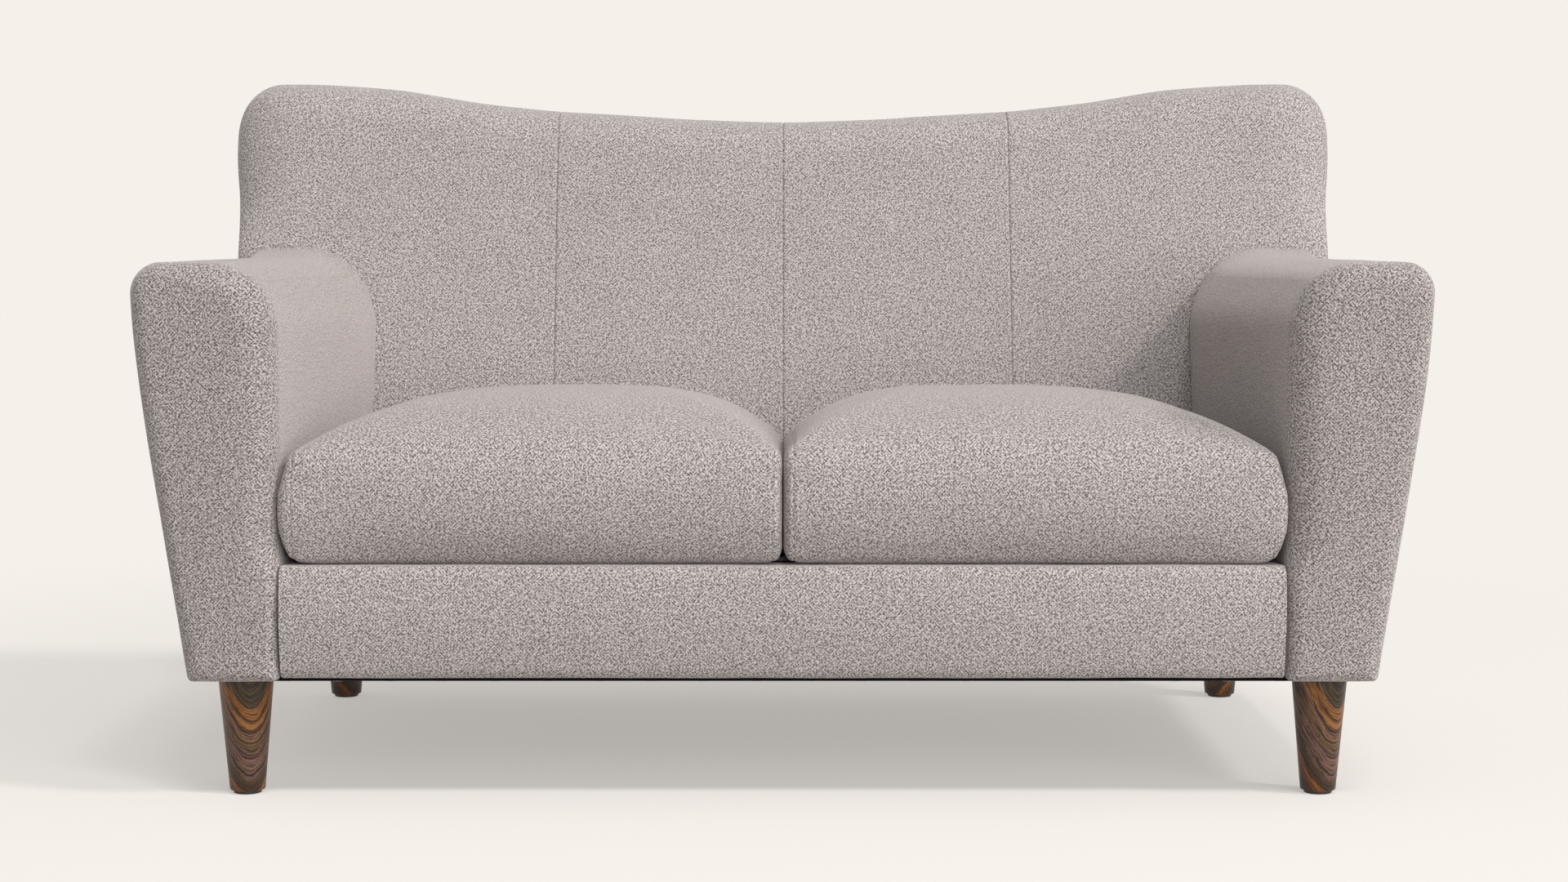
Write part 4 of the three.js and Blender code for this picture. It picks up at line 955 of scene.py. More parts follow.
@dataclass(frozen=True)
class Back:
    """The upholstered back: a leaning slab with a rolled, dipped crest and three sewn seams in its face."""

    top_front_radius: float = 74.0
    top_rear_radius: float = 42.0
    foot_radius: float = 5.0
    side_front_width: float = 95.0
    side_front_depth: float = 46.0
    side_low_width: float = 40.0
    side_low_depth: float = 8.0
    side_top_roll: float = 62.0
    side_rear_roll: float = 20.0
    side_foot_roll: float = 5.0
    roll_change: tuple[float, float] = (650.0, 740.0)
    smallest_radius: float = 1.5
    seam_offset: float = 321.0
    seam: Seam = Seam(depth=2.0, half_width=1.1, shoulder=0.25, shoulder_reach=4.0)
    panel_crown: float = 1.6
    behind_range: tuple[float, float] = (-0.2, 0.35)
    arc_steps: tuple[int, int, int, int] = (2, 18, 10, 2)
    side_steps: tuple[int, int, int, int] = (52, 4, 40, 8)
    seam_steps: tuple[float, ...] = (0, 0.6, 1.2, 1.9, 2.8, 4.0, 5.6, 8.0, 12.0)
    column_steps: int = 52
    roll_steps: int = 12
    clear_of_seam: float = 6.0
    flat_share: float = 0.8
    crown_reach: float = 60.0
    swells: tuple[tuple[float, float], ...] = ((170, 1.0), (60, 0.25))
    end_rings: int = 6

    def section(self, x: float, insets: Sequence[float]) -> list[tuple[float, float, SectionPoint, float]]:
        """The back's section at a distance from the middle.

        Args:
            x: The distance from the middle.
            insets: How far each side moves in: front, top, rear and foot.

        Returns:
            Y and Z for each point, the point itself, and how much it belongs to the front.
        """
        top, foot = LINES.crest_at(x), LINES.base_height
        corners = inset_corners([
            Vector((LINES.back_face_at(foot), foot)), Vector((LINES.back_face_at(top), top)),
            Vector((LINES.back_rear_at(top), top)), Vector((LINES.back_rear_at(foot), foot)),
        ], insets)
        plain = (self.foot_radius, self.top_front_radius, self.top_rear_radius, self.foot_radius)
        radii = shrunk_radii(plain, insets, self.smallest_radius)
        return [
            (point.at.x, point.at.y, point, 1.0 if point.corner == 0 else point.sides[0])
            for point in rounded_section(corners, radii, self.arc_steps, self.side_steps)
        ]

    def widths_at(self, height: float) -> list[float]:
        """How far in the side edges' rolls reach at a height: front, top, rear and foot."""
        front = lerp(self.side_low_width, self.side_front_width, smooth_share(*self.roll_change, height))
        return [front, self.side_top_roll, self.side_rear_roll, self.side_foot_roll]

    def depths_at(self, height: float) -> list[float]:
        """How far the side edges' rolls fall away at a height: front, top, rear and foot."""
        front = lerp(self.side_low_depth, self.side_front_depth, smooth_share(*self.roll_change, height))
        return [front, self.side_top_roll, self.side_rear_roll, self.side_foot_roll]

    def half_rings(self) -> list[list[Vector]]:
        """Rings from the middle out to the side's end, on the right."""
        deepest = self.depths_at(LINES.wing_height)
        flat_end = LINES.back_half_width - self.side_top_roll
        near_seams = {
            seam + way * gap for seam in (0.0, self.seam_offset) for way in (-1, 1) for gap in self.seam_steps
        }
        spaced = {flat_end * share for share in steps(self.column_steps)}
        clear = {x for x in spaced if all(abs(x - y) > self.clear_of_seam for y in near_seams)}
        places = sorted(x for x in near_seams | clear if 0 <= x < flat_end)
        rings = []
        for place in places:
            share = smooth_share(flat_end * self.flat_share, flat_end, place)
            ring = []
            for y, z, point, _ in self.section(place, [0, 0, 0, 0]):
                flat = LINES.back_half_width_at(z) - weighed(point.sides, self.widths_at(z))
                ring.append(Vector((place * lerp(1, flat / flat_end, share), y, z)))
            rings.append(ring)
        for share in steps(self.roll_steps):
            turn = math.pi / 2 * (1 - share)
            ring = []
            for y, z, point, on_front in self.section(
                LINES.back_half_width, [roll * (1 - math.sin(turn)) for roll in deepest]
            ):
                spare = (deepest[0] - self.depths_at(z)[0]) * (1 - math.sin(turn)) * on_front
                out = LINES.back_half_width_at(z) - weighed(point.sides, self.widths_at(z)) * (1 - math.cos(turn))
                ring.append(Vector((out, y - spare, z)))
            rings.append(ring)
        return rings

    def relief_at(self, place: Vector, normal: Vector) -> float:
        """The seams, the low crowns between them and the stuffing's unevenness, in millimetres."""
        behind = smooth_share(*self.behind_range, normal.y)
        reach = abs(place.x)
        nearest = min(abs(reach - self.seam_offset), reach)
        seam = self.seam.relief_at(nearest) * (1 - behind)
        crown = self.panel_crown * (1 - math.exp(-((nearest / self.crown_reach) ** 2))) - self.panel_crown
        return seam + crown * (1 - behind) + settle(place, *self.swells)

    def build(self) -> bpy.types.Object:
        """Makes the back's piece and hides the CAD nodes that it stands in for."""
        half = self.half_rings()
        rings = mirrored(half[1:], -1)[::-1] + half
        bm = skin_over(capped_both(rings, self.end_rings))
        shift_along_normals(bm, self.relief_at)
        back = piece_from("upholstered_back", bm, FINISHES.back_cloth, "frame", sharp=80)
        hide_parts("inside_back_cover", "back_foam")
        return back


@dataclass(frozen=True)
class RearPanel:
    """The cloth panel that closes the back behind, drawn tight over a turned-in edge."""

    margin: float = 16.0
    side_margin: float = 36.0
    foot: float = 150.0
    thickness: float = 2.4
    cloth_share: float = 0.6
    edge_roll: float = 5.0
    columns: int = 120
    rows: int = 56
    swell: tuple[float, float] = (120, 0.7)

    def place_at(self, x_share: float, z_share: float) -> Vector:
        """Where the panel's cloth lies, for how far across and up it is, each from -0.5 to 0.5."""
        across = x_share * 2
        top = LINES.crest_at(across * (LINES.back_half_width - self.side_margin)) - Back.top_rear_radius - self.margin
        z = lerp(self.foot, top, z_share + 0.5)
        x = across * (LINES.back_half_width_at(z) - self.side_margin)
        edge = min((1 - abs(across)) * LINES.back_half_width, z - self.foot, top - z)
        roll = clamp(edge / self.edge_roll)
        proud = self.thickness * (1 - math.sqrt(max(1 - roll * (2 - roll), 0)))
        y = LINES.outside_back_at(z) - self.thickness + proud + settle(Vector((x, 0, z)), self.swell)
        return Vector((x, y, z))

    def build(self) -> bpy.types.Object:
        """Makes the panel's piece and hides the CAD node that it stands in for."""
        bm = shaped_grid(self.columns, self.rows, self.place_at)
        cut = sum(face.calc_area() for face in bm.faces)
        thicken(bm, self.thickness * self.cloth_share)
        panel = piece_from("outside_back_panel", bm, FINISHES.back_cloth, "frame", sharp=60)
        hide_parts("outside_back_cover")
        return panel


@dataclass(frozen=True)
class FrontRail:
    """The upholstered rail under the cushions, with a softly rounded top."""

    face_reach: float = 8.0
    belly: float = 9.0
    belly_start: float = 3.5
    lip: float = 70.0
    foot: float = 147.0
    end_gap: float = 1.0
    top_radius: float = 13.0
    foot_radius: float = 13.0
    other_radius: float = 2.0
    row_steps: int = 150
    end_rings: int = 2
    swells: tuple[tuple[float, float], ...] = ((120, 0.8), (40, 0.25))
    arc_steps: tuple[int, int, int, int] = (6, 8, 2, 2)
    side_steps: tuple[int, int, int, int] = (18, 8, 10, 8)

    def build(self) -> bpy.types.Object:
        """Makes the rail's piece and hides the CAD nodes that it stands in for."""
        front, rear = self.face_reach, self.face_reach + self.lip
        corners = [
            Vector((front, self.foot)), Vector((front, LINES.deck_height_at(front))),
            Vector((rear, LINES.deck_height_at(rear))), Vector((rear, self.foot)),
        ]
        radii = (self.foot_radius, self.top_radius, self.other_radius, self.other_radius)
        section = rounded_section(corners, radii, self.arc_steps, self.side_steps)
        rings = []
        for share in steps(self.row_steps):
            ring = []
            for point in section:
                reach, z = point.at
                half = LINES.seat_half_width_at(reach) - self.end_gap
                from_middle = 2 * (z - self.foot) / (LINES.deck_height_at(front) - self.foot) - 1
                belly = (self.belly * (1 - from_middle**2) - self.belly_start) * point.sides[0]
                ring.append(Vector((lerp(-half, half, share), LINES.front + reach - belly, z)))
            rings.append(ring)
        bm = skin_over(capped_both(rings, self.end_rings))
        shift_along_normals(bm, lambda place, normal: settle(place, *self.swells))
        rail = piece_from("upholstered_front_rail", bm, FINISHES.rail_cloth, "frame", sharp=60)
        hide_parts("front_rail_cover", "front_rail_foam")
        return rail


# Seat cushions


@dataclass(frozen=True)
class SeatCushion:
    """One loose seat cushion: a crowned box of cloth over foam and fibre, with a seam down each side."""

    side: Side
    front_reach: float = 10.0
    rear_reach: float = 530.0
    edge_height: float = 138.0
    crown: float = 71.0
    crown_power: float = 3.7
    rear_lean: float = math.tan(math.radians(16.5))
    centre_gap: float = 2.4
    arm_gap: float = 2.6
    outer_radius: float = 22.0
    inner_radius: float = 10.0
    side_draw_in: float = 3.0
    inner_draw_in: float = -2.0
    inner_share: float = 0.5
    inner_fullness: float = 0.72
    front_swell: float = 16.0
    front_swell_reach: tuple[float, float] = (8.0, 48.0)
    front_swell_rise: tuple[float, float] = (-30.0, 22.0)
    front_swell_top: float = 85.0
    front_swell_top_share: float = 0.5
    foot_ease: float = 11.0
    foot_ease_height: float = 70.0
    foot_ease_reach: tuple[float, float] = (20.0, 80.0)
    corner_from: float = 0.75
    nearest_middle: float = 0.5
    front_foot_draw_in: float = 15.0
    front_top_draw_in: float = 6.0
    top_roll: float = 24.0
    foot_roll: float = 17.0
    clearance: float = 0.4
    slack: float = 1.0
    seam_inset: float = 12.0
    seam: Seam = Seam(depth=1.1, half_width=1.3, shoulder=0.2, shoulder_reach=4.0)
    voxel: float = 6.0
    swell_limit: float = 6.0
    cloth: tuple[tuple[str, float], ...] = (
        ("quality", 6), ("mass", 0.4), ("tension_stiffness", 22), ("compression_stiffness", 22),
        ("shear_stiffness", 12), ("bending_stiffness", 1.5), ("use_pressure", True), ("uniform_pressure_force", 4.0))
    frames: int = 20
    foot_steps: int = 4
    wall_steps: int = 12
    roll_steps: int = 6
    crown_steps: int = 26
    foot_cap: int = 14
    arc_steps: tuple[int, int, int, int] = (8, 8, 8, 8)
    side_steps: tuple[int, int, int, int] = (40, 34, 40, 34)
    seam_cuts: tuple[float, ...] = (-5.0, -2.4, -1.2, 0.0, 1.2, 2.4, 5.0)
    foot_held: float = 3.0
    seam_held_share: float = 0.6
    swells: tuple[tuple[float, float], ...] = ((110, 0.8), (38, 0.2))
    zip_margin: float = 6.0
    zip_ease: float = 34.0
    zip_depth: float = 0.6
    zip_facing: float = 0.3

    @property
    def depth(self) -> float:
        """The cushion's depth, front to rear, at its foot."""
        return self.rear_reach - self.front_reach

    @property
    def roll_end(self) -> float:
        """The angle at which the rolled edge meets the crown."""
        return math.pi / 2 - math.atan(2 * self.crown_power * self.crown / self.depth)

    @property
    def wall_top(self) -> float:
        """The height at which the upright wall ends and the top's roll starts."""
        return self.edge_height - self.top_roll * math.sin(self.roll_end)

    def outline_at(self, inset: float, height: float) -> list[Vector]:
        """The cushion's outline seen from above.

        Args:
            inset: How far it is moved in.
            height: The height above the foot, which sets how far the sides are drawn in.

        Returns:
            Points of X and reach.
        """
        gap = self.centre_gap / 2
        corners = [
            Vector((gap, self.front_reach)),
            Vector((self.half_width_at(self.front_reach), self.front_reach)),
            Vector((self.half_width_at(self.rear_reach), self.rear_reach)),
            Vector((gap, self.rear_reach)),
        ]
        wall_share = clamp((height - self.foot_roll) / (self.wall_top - self.foot_roll))
        front = lerp(self.front_foot_draw_in, self.front_top_draw_in, wall_share)
        draw_ins = (front, self.side_draw_in, 0, self.inner_draw_in)
        insets = [inset + draw_in * (1 - math.sin(math.pi * wall_share)) + self.slack for draw_in in draw_ins]
        insets[3] -= inset * (1 - self.inner_share) * smooth_share(0, self.edge_height, height)
        radii = (self.inner_radius, self.outer_radius, self.outer_radius, self.inner_radius)
        points = rounded_section(inset_corners(corners, insets), radii, self.arc_steps, self.side_steps)
        return [point.at for point in points]

    def half_width_at(self, reach: float) -> float:
        """How far from the sofa's middle the cushion's outer side is at a reach."""
        return LINES.seat_half_width_at(reach) - self.arm_gap

    def corner_share_at(self, x: float, reach: float) -> float:
        """How near a place is to the cushion's outer side, from 0 to 1."""
        return smooth_share(self.corner_from, 1.0, x / self.half_width_at(reach))

    def front_swell_at(self, x: float, reach: float, height: float) -> float:
        """How far the outer front corner swells into the hollow of the arm's rolled edge."""
        topped = self.front_swell_top_share * smooth_share(self.front_swell_top, self.edge_height, height)
        rise = smooth_share(*self.front_swell_rise, height) * (1 - topped)
        front = 1 - smooth_share(*self.front_swell_reach, reach)
        return self.front_swell * self.corner_share_at(x, reach) * rise * front

    def foot_ease_at(self, x: float, reach: float, height: float) -> float:
        """How far forward the outer front corner stands at its foot, where the filling is packed tight."""
        low = 1 - smooth_share(0, self.foot_ease_height, height)
        front = 1 - smooth_share(*self.foot_ease_reach, reach)
        return self.foot_ease * self.corner_share_at(x, reach) * low * front

    def ring_at(self, outline: Sequence[Vector], height: float) -> list[Vector]:
        """Stands an outline at a height, raked with the deck and leaning with the back."""
        ring = []
        for x, reach in outline:
            reach -= self.foot_ease_at(x, reach, height)
            leaned = reach + height * self.rear_lean * (reach - self.front_reach) / self.depth
            z = LINES.deck_height_at(leaned) + self.clearance + height
            ring.append(Vector((x + self.front_swell_at(x, reach, height), LINES.front + leaned, z)))
        return ring

    def rings(self) -> list[list[Vector]]:
        """Rings from the middle of the foot over the sides to the top of the crown, on the right."""
        rings = []
        for share in steps(self.foot_steps):
            turn = math.pi / 2 * share
            height = self.foot_roll * (1 - math.cos(turn))
            rings.append(self.ring_at(self.outline_at(self.foot_roll * (1 - math.sin(turn)), height), height))
        for share in steps(self.wall_steps)[1:-1]:
            height = lerp(self.foot_roll, self.wall_top, share)
            rings.append(self.ring_at(self.outline_at(0, height), height))
        for share in steps(self.roll_steps):
            turn = self.roll_end * share
            height = self.wall_top + self.top_roll * math.sin(turn)
            rings.append(self.ring_at(self.outline_at(self.top_roll * (1 - math.cos(turn)), height), height))
        edge = self.outline_at(self.top_roll * (1 - math.cos(self.roll_end)), self.edge_height)
        middle = sum(edge, Vector((0, 0))) / len(edge)
        half_width = max(abs(at.x - middle.x) for at in edge)
        half_depth = max(abs(at.y - middle.y) for at in edge)
        for share in steps(self.crown_steps)[1:]:
            outline = []
            for at in edge:
                out = at - middle
                corner_share = max(math.hypot(out.x / half_width, out.y / half_depth), 1)
                kept = Vector((out.x * (1 - share) ** (self.inner_fullness if out.x < 0 else 1), out.y * (1 - share)))
                outline.append(middle + kept * lerp(1, 1 / corner_share, share))
            rise = self.edge_height + (self.crown - self.slack) * (1 - (1 - share) ** self.crown_power)
            rings.append(self.ring_at(outline, rise))
        return capped(rings, self.foot_cap)

    def seam_distance(self, place: Vector) -> float:
        """The distance, in millimetres, from the nearer of the two side seams."""
        reach = place.y - LINES.front
        inner = self.centre_gap / 2 + self.seam_inset
        outer = self.half_width_at(min(reach, self.rear_reach)) - self.seam_inset
        x = abs(place.x)
        return min(x - inner, outer - x, key=abs)

    def swell(self, piece: bpy.types.Object) -> None:
        """Blows the cushion up as stuffed cloth, held at its seams and its foot, and keeps the result.

        Args:
            piece: The cushion, whose mesh is changed.
        """
        piece.modifiers.new("even", "REMESH").voxel_size = self.voxel * METRES
        graph = bpy.context.evaluated_depsgraph_get()
        piece.data = bpy.data.meshes.new_from_object(piece.evaluated_get(graph))
        piece.modifiers.clear()
        rest = [vertex.co.copy() for vertex in piece.data.vertices]
        held = piece.vertex_groups.new(name="held")
        foot = [LINES.deck_height_at(co.y / METRES - LINES.front) for co in rest]
        seam_held = self.voxel * self.seam_held_share
        near = [
            i for i, co in enumerate(rest)
            if abs(self.seam_distance(co / METRES)) < seam_held or co.z / METRES < foot[i] + self.foot_held
        ]
        held.add(near, 1.0, "REPLACE")
        cloth = piece.modifiers.new("cloth", "CLOTH")
        for setting, value in self.cloth:
            setattr(cloth.settings, setting, value)
        cloth.settings.effector_weights.gravity = 0
        cloth.settings.vertex_group_mass = held.name
        cloth.collision_settings.use_collision = False
        scene = bpy.context.scene
        for step in range(1, self.frames + 1):
            scene.frame_set(step)
        graph = bpy.context.evaluated_depsgraph_get()
        blown = piece.evaluated_get(graph).to_mesh()
        limit = self.swell_limit * METRES
        moves = [vertex.co - co for vertex, co in zip(blown.vertices, rest)]
        most = max(move.length for move in moves) / METRES
        for vertex, co, move in zip(piece.data.vertices, rest, moves):
            vertex.co = co + (move.normalized() * limit * math.tanh(move.length / limit) if move.length else move)
        piece.evaluated_get(graph).to_mesh_clear()
        piece.modifiers.clear()
        piece.vertex_groups.clear()
        scene.frame_set(1)
        LOG.info("%s: cloth moved up to %.1f mm", piece.name, most)

    def press_for_zip(self, bm: bmesh.types.BMesh) -> None:
        """Draws the rear border in behind the zip, easing out all round, so that the tape lies on the cloth.

        Args:
            bm: The cushion's mesh, which is changed.
        """
        low, high = cad_box(f"{self.side.word}_zip_tape")
        _, out = lean_of(Vector((0, low.y, low.z)), Vector((0, high.y, high.z)))
        bm.normal_update()
        for vertex in bm.verts:
            place = vertex.co / METRES
            past_end = max(low.x - place.x, place.x - high.x, 0)
            past_edge = max(low.z - place.z, place.z - high.z, 0)
            near = 1 - smooth_share(self.zip_margin, self.zip_ease, math.hypot(past_end, past_edge))
            proud = (place - Vector((place.x, low.y, low.z))).dot(out) + self.zip_depth
            if proud > 0 and near > 0 and vertex.normal.dot(out) > self.zip_facing:
                vertex.co -= out * proud * near * METRES

    def sew(self, piece: bpy.types.Object) -> None:
        """Cuts the seams' lines into the mesh, sinks them and draws in a place for the zip.

        Args:
            piece: The cushion, whose mesh is changed.
        """
        sign = self.side.value
        bm = bmesh.new()
        bm.from_mesh(piece.data)
        bmesh.ops.smooth_vert(bm, verts=bm.verts, factor=0.5, use_axis_x=True, use_axis_y=True, use_axis_z=True)
        taper = LINES.arm_inner_draw_in / LINES.draw_in_reach
        inner = self.centre_gap / 2 + self.seam_inset
        outer = self.half_width_at(0) - self.seam_inset
        for base, slope in ((inner, 0.0), (outer, taper)):
            for gap in self.seam_cuts:
                bmesh.ops.bisect_plane(
                    bm, geom=[*bm.verts, *bm.edges, *bm.faces], dist=1e-5,
                    plane_co=Vector((sign * (base + gap), LINES.front, 0)) * METRES,
                    plane_no=Vector((sign, slope, 0)).normalized())
        shift_along_normals(bm, lambda place, normal: (
            self.seam.relief_at(self.seam_distance(place)) + settle(place, *self.swells)))
        self.press_for_zip(bm)
        for vertex in bm.verts:
            vertex.co.x = sign * max(sign * vertex.co.x, self.nearest_middle * METRES)
        bm.to_mesh(piece.data)
        bm.free()

    def build(self) -> bpy.types.Object:
        """Makes the cushion's piece and hides the CAD nodes that it stands in for."""
        name = self.side.word
        cushion = piece_from(f"{name}_seat_cushion", skin_over(mirrored(self.rings(), self.side.value)),
                             FINISHES.seat_cloth, f"{name}_seat_cushion", sharp=80)
        self.swell(cushion)
        self.sew(cushion)
        cushion.data.shade_smooth()
        if not cushion.data.materials:
            cushion.data.materials.append(FINISHES.seat_cloth.material())
        smooth = cushion.modifiers.new("smooth", "SUBSURF")
        smooth.levels = smooth.render_levels = 1
        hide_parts(f"{name}_seat_cushion_cover", f"{name}_seat_cushion_core")
        return cushion


# Legs


@dataclass(frozen=True)
class Leg:
    """One turned, tapered leg with its moulded glide."""

    side: Side
    is_front: bool
    top_radius: float = 33.5
    foot_radius: float = 21.5
    bevel: float = 1.5
    glide_height: float = 4.0
    glide_radius: float = 17.0
    pin_radius: float = 2.5
    pin_length: float = 10.0
    top: float = 142.0
    bolt_radius: float = 4.4
    bolt_depth: float = 46.4
    play: float = 0.4
    glide_rim: float = 1.0
    turn_steps: int = 96
    glide_steps: int = 64
    grain_turn: float = 0.0

    @property
    def name(self) -> str:
        """The name of the CAD node that the leg stands for."""
        return f"{self.side.word}_{'front' if self.is_front else 'rear'}_leg"

    @property
    def axis(self) -> Vector:
        """Where the leg stands, in metres."""
        low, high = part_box(self.name)
        return Vector(((low.x + high.x) / 2, (low.y + high.y) / 2, 0))

    def build(self) -> None:
        """Makes the leg and its glide, with the grain's own coordinates on the leg."""
        hole, hole_radius = self.glide_height + self.pin_length + self.play, self.pin_radius + self.play
        bm = lathe([
            (0, hole), (hole_radius, hole), (hole_radius, self.glide_height),
            (self.foot_radius - self.bevel, self.glide_height),
            (self.foot_radius - self.bevel * 0.3, self.glide_height + self.bevel * 0.35),
            (self.foot_radius, self.glide_height + self.bevel), (self.top_radius, self.top),
            (self.bolt_radius, self.top), (self.bolt_radius, self.top - self.bolt_depth),
            (0, self.top - self.bolt_depth),
        ], self.turn_steps)
        turn = Matrix.Rotation(math.radians(self.grain_turn), 3, "Z")
        grain = [turn @ vertex.co for vertex in bm.verts]
        bmesh.ops.translate(bm, vec=self.axis, verts=bm.verts)
        leg = piece_from(f"{self.name}_turned", bm, FINISHES.rosewood, "frame")
        places = leg.data.attributes.new("grain", "FLOAT_VECTOR", "POINT")
        places.data.foreach_set("vector", [value for place in grain for value in place])
        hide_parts(self.name)
        rim, top = self.glide_rim, self.glide_height - self.play
        glide_mesh = lathe([
            (0, 0), (self.glide_radius - rim, 0), (self.glide_radius - rim * 0.3, rim * 0.3),
            (self.glide_radius, rim), (self.glide_radius, top), (self.pin_radius, top),
            (self.pin_radius, self.glide_height + self.pin_length), (0, self.glide_height + self.pin_length),
        ], self.glide_steps)
        bmesh.ops.translate(glide_mesh, vec=self.axis, verts=glide_mesh.verts)
        glide = piece_from(f"{self.name}_glide_moulded", glide_mesh, FINISHES.glide, "frame")
        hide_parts(f"{self.name}_glide")


# Cloth and felt in the seat and under it


@dataclass(frozen=True)
class StretchedCloth:
    """A cloth or a felt laid tight over a level or raked opening, a little uneven between its edges."""

    name: str
    node: str
    finish: Finish
    slot: Slot
    thickness: float
    is_pad: bool = False
    columns: int = 64
    rows: int = 40
    swell: tuple[float, float] = (90, 0.5)

    def build(self) -> bpy.types.Object:
        """Makes the sheet from the CAD node's own outline and hides the node that it stands in for."""
        low, high = cad_box(self.node)
        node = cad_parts[self.node]
        points = [vertex.co / METRES for vertex in node.data.vertices]
        front_half = max(abs(p.x) for p in points if p.y < low.y + 1)
        rear_half = max(abs(p.x) for p in points if p.y > high.y - 1)
        front_top = max(p.z for p in points if p.y < low.y + 1)
        rear_top = max(p.z for p in points if p.y > high.y - 1)

        def place_at(x_share: float, y_share: float) -> Vector:
            """Where the cloth lies, for how far across and back it is, each from -0.5 to 0.5."""
            across, back = x_share * 2, y_share + 0.5
            slack = (1 - across**2) * 4 * back * (1 - back)
            place = Vector((
                across * lerp(front_half, rear_half, back), lerp(low.y, high.y, back),
                lerp(front_top, rear_top, back),
            ))
            place.z += settle(place, self.swell) * slack
            return place

        bm = shaped_grid(self.columns, self.rows, place_at)
        thicken(bm, -self.thickness)
        cloth = piece_from(self.name, bm, self.finish, "frame", sharp=60)
        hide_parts(self.node)
        return cloth


@dataclass(frozen=True)
class Webbing:
    """One strap of elastic webbing across the back's frame, pulled tight."""

    level: str
    thickness: float = 1.7
    proud: float = 0.1
    foot_up: float = 0.6
    head_forward: float = 1.9
    columns: int = 160
    rows: int = 14
    swell: tuple[float, float] = (60, 0.25)

    def build(self) -> bpy.types.Object:
        """Makes the strap from the CAD node's own box and hides the node that it stands in for."""
        node = f"{self.level}_back_webbing"
        low, high = cad_box(node)
        foot = Vector((0, low.y, low.z + self.foot_up))
        head = Vector((0, high.y - self.head_forward, high.z))
        _, out = lean_of(foot, head)

        def place_at(x_share: float, z_share: float) -> Vector:
            """Where the strap lies, for how far across and up it is, each from -0.5 to 0.5."""
            place = foot.lerp(head, z_share + 0.5) + Vector((lerp(low.x, high.x, x_share + 0.5), 0, 0))
            return place - out * (settle(place, self.swell) + self.proud)

        bm = shaped_grid(self.columns, self.rows, place_at)
        thicken(bm, -self.thickness)
        strap = piece_from(f"{self.level}_webbing_strap", bm, FINISHES.webbing, "frame", sharp=60)
        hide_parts(node)
        return strap


@dataclass(frozen=True)
class ZipTape:
    """The closed zip in a cushion's rear border: a woven tape with its coil of teeth standing along the middle."""

    side: Side
    coil_radius: float = 1.3
    tooth_pitch: float = 1.9
    tooth_steps: int = 4
    coil_hollow: float = 0.62
    coil_width: float = 1.5
    coil_sides: int = 8
    tape_thickness: float = 0.7
    foot_back: float = 0.3
    head_forward: float = 1.4
    head_down: float = 0.4
    columns: int = 90
    rows: int = 8
    swell: tuple[float, float] = (30, 0.15)

    def build(self) -> None:
        """Makes the tape and its coil and hides the CAD tape that they stand in for."""
        name = self.side.word
        low, high = cad_box(f"{name}_zip_tape")
        foot = Vector((0, low.y + self.foot_back, low.z))
        head = Vector((0, high.y - self.head_forward, high.z - self.head_down))
        up, out = lean_of(foot, head)
        middle = foot.lerp(head, 0.5) + out * self.tape_thickness
        rings = []
        count = round((high.x - low.x) / self.tooth_pitch * self.tooth_steps)
        for k in range(count + 1):
            tooth = abs(math.sin(math.pi * k / self.tooth_steps))
            bulge = self.coil_radius * lerp(self.coil_hollow, 1, tooth)
            x = lerp(low.x, high.x, k / count)
            rings.append([
                Vector((x, 0, 0)) + middle + (up * math.cos(turn) * self.coil_width + out * math.sin(turn)) * bulge
                for turn in (math.tau * i / self.coil_sides for i in range(self.coil_sides))
            ])
        coil = piece_from(f"{name}_zip_coil", skin_over(capped_both(rings, 1)), FINISHES.zip_tape,
                          f"{name}_seat_cushion", sharp=50)

        def place_at(x_share: float, z_share: float) -> Vector:
            """Where the tape lies, for how far across and up it is, each from -0.5 to 0.5."""
            place = foot.lerp(head, z_share + 0.5) + Vector((lerp(low.x, high.x, x_share + 0.5), 0, 0))
            return place + out * settle(place, self.swell)

        bm = shaped_grid(self.columns, self.rows, place_at)
        thicken(bm, self.tape_thickness)
        tape = piece_from(f"{name}_zip_tape_woven", bm, FINISHES.zip_tape, f"{name}_seat_cushion", sharp=60)
        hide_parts(f"{name}_zip_tape")


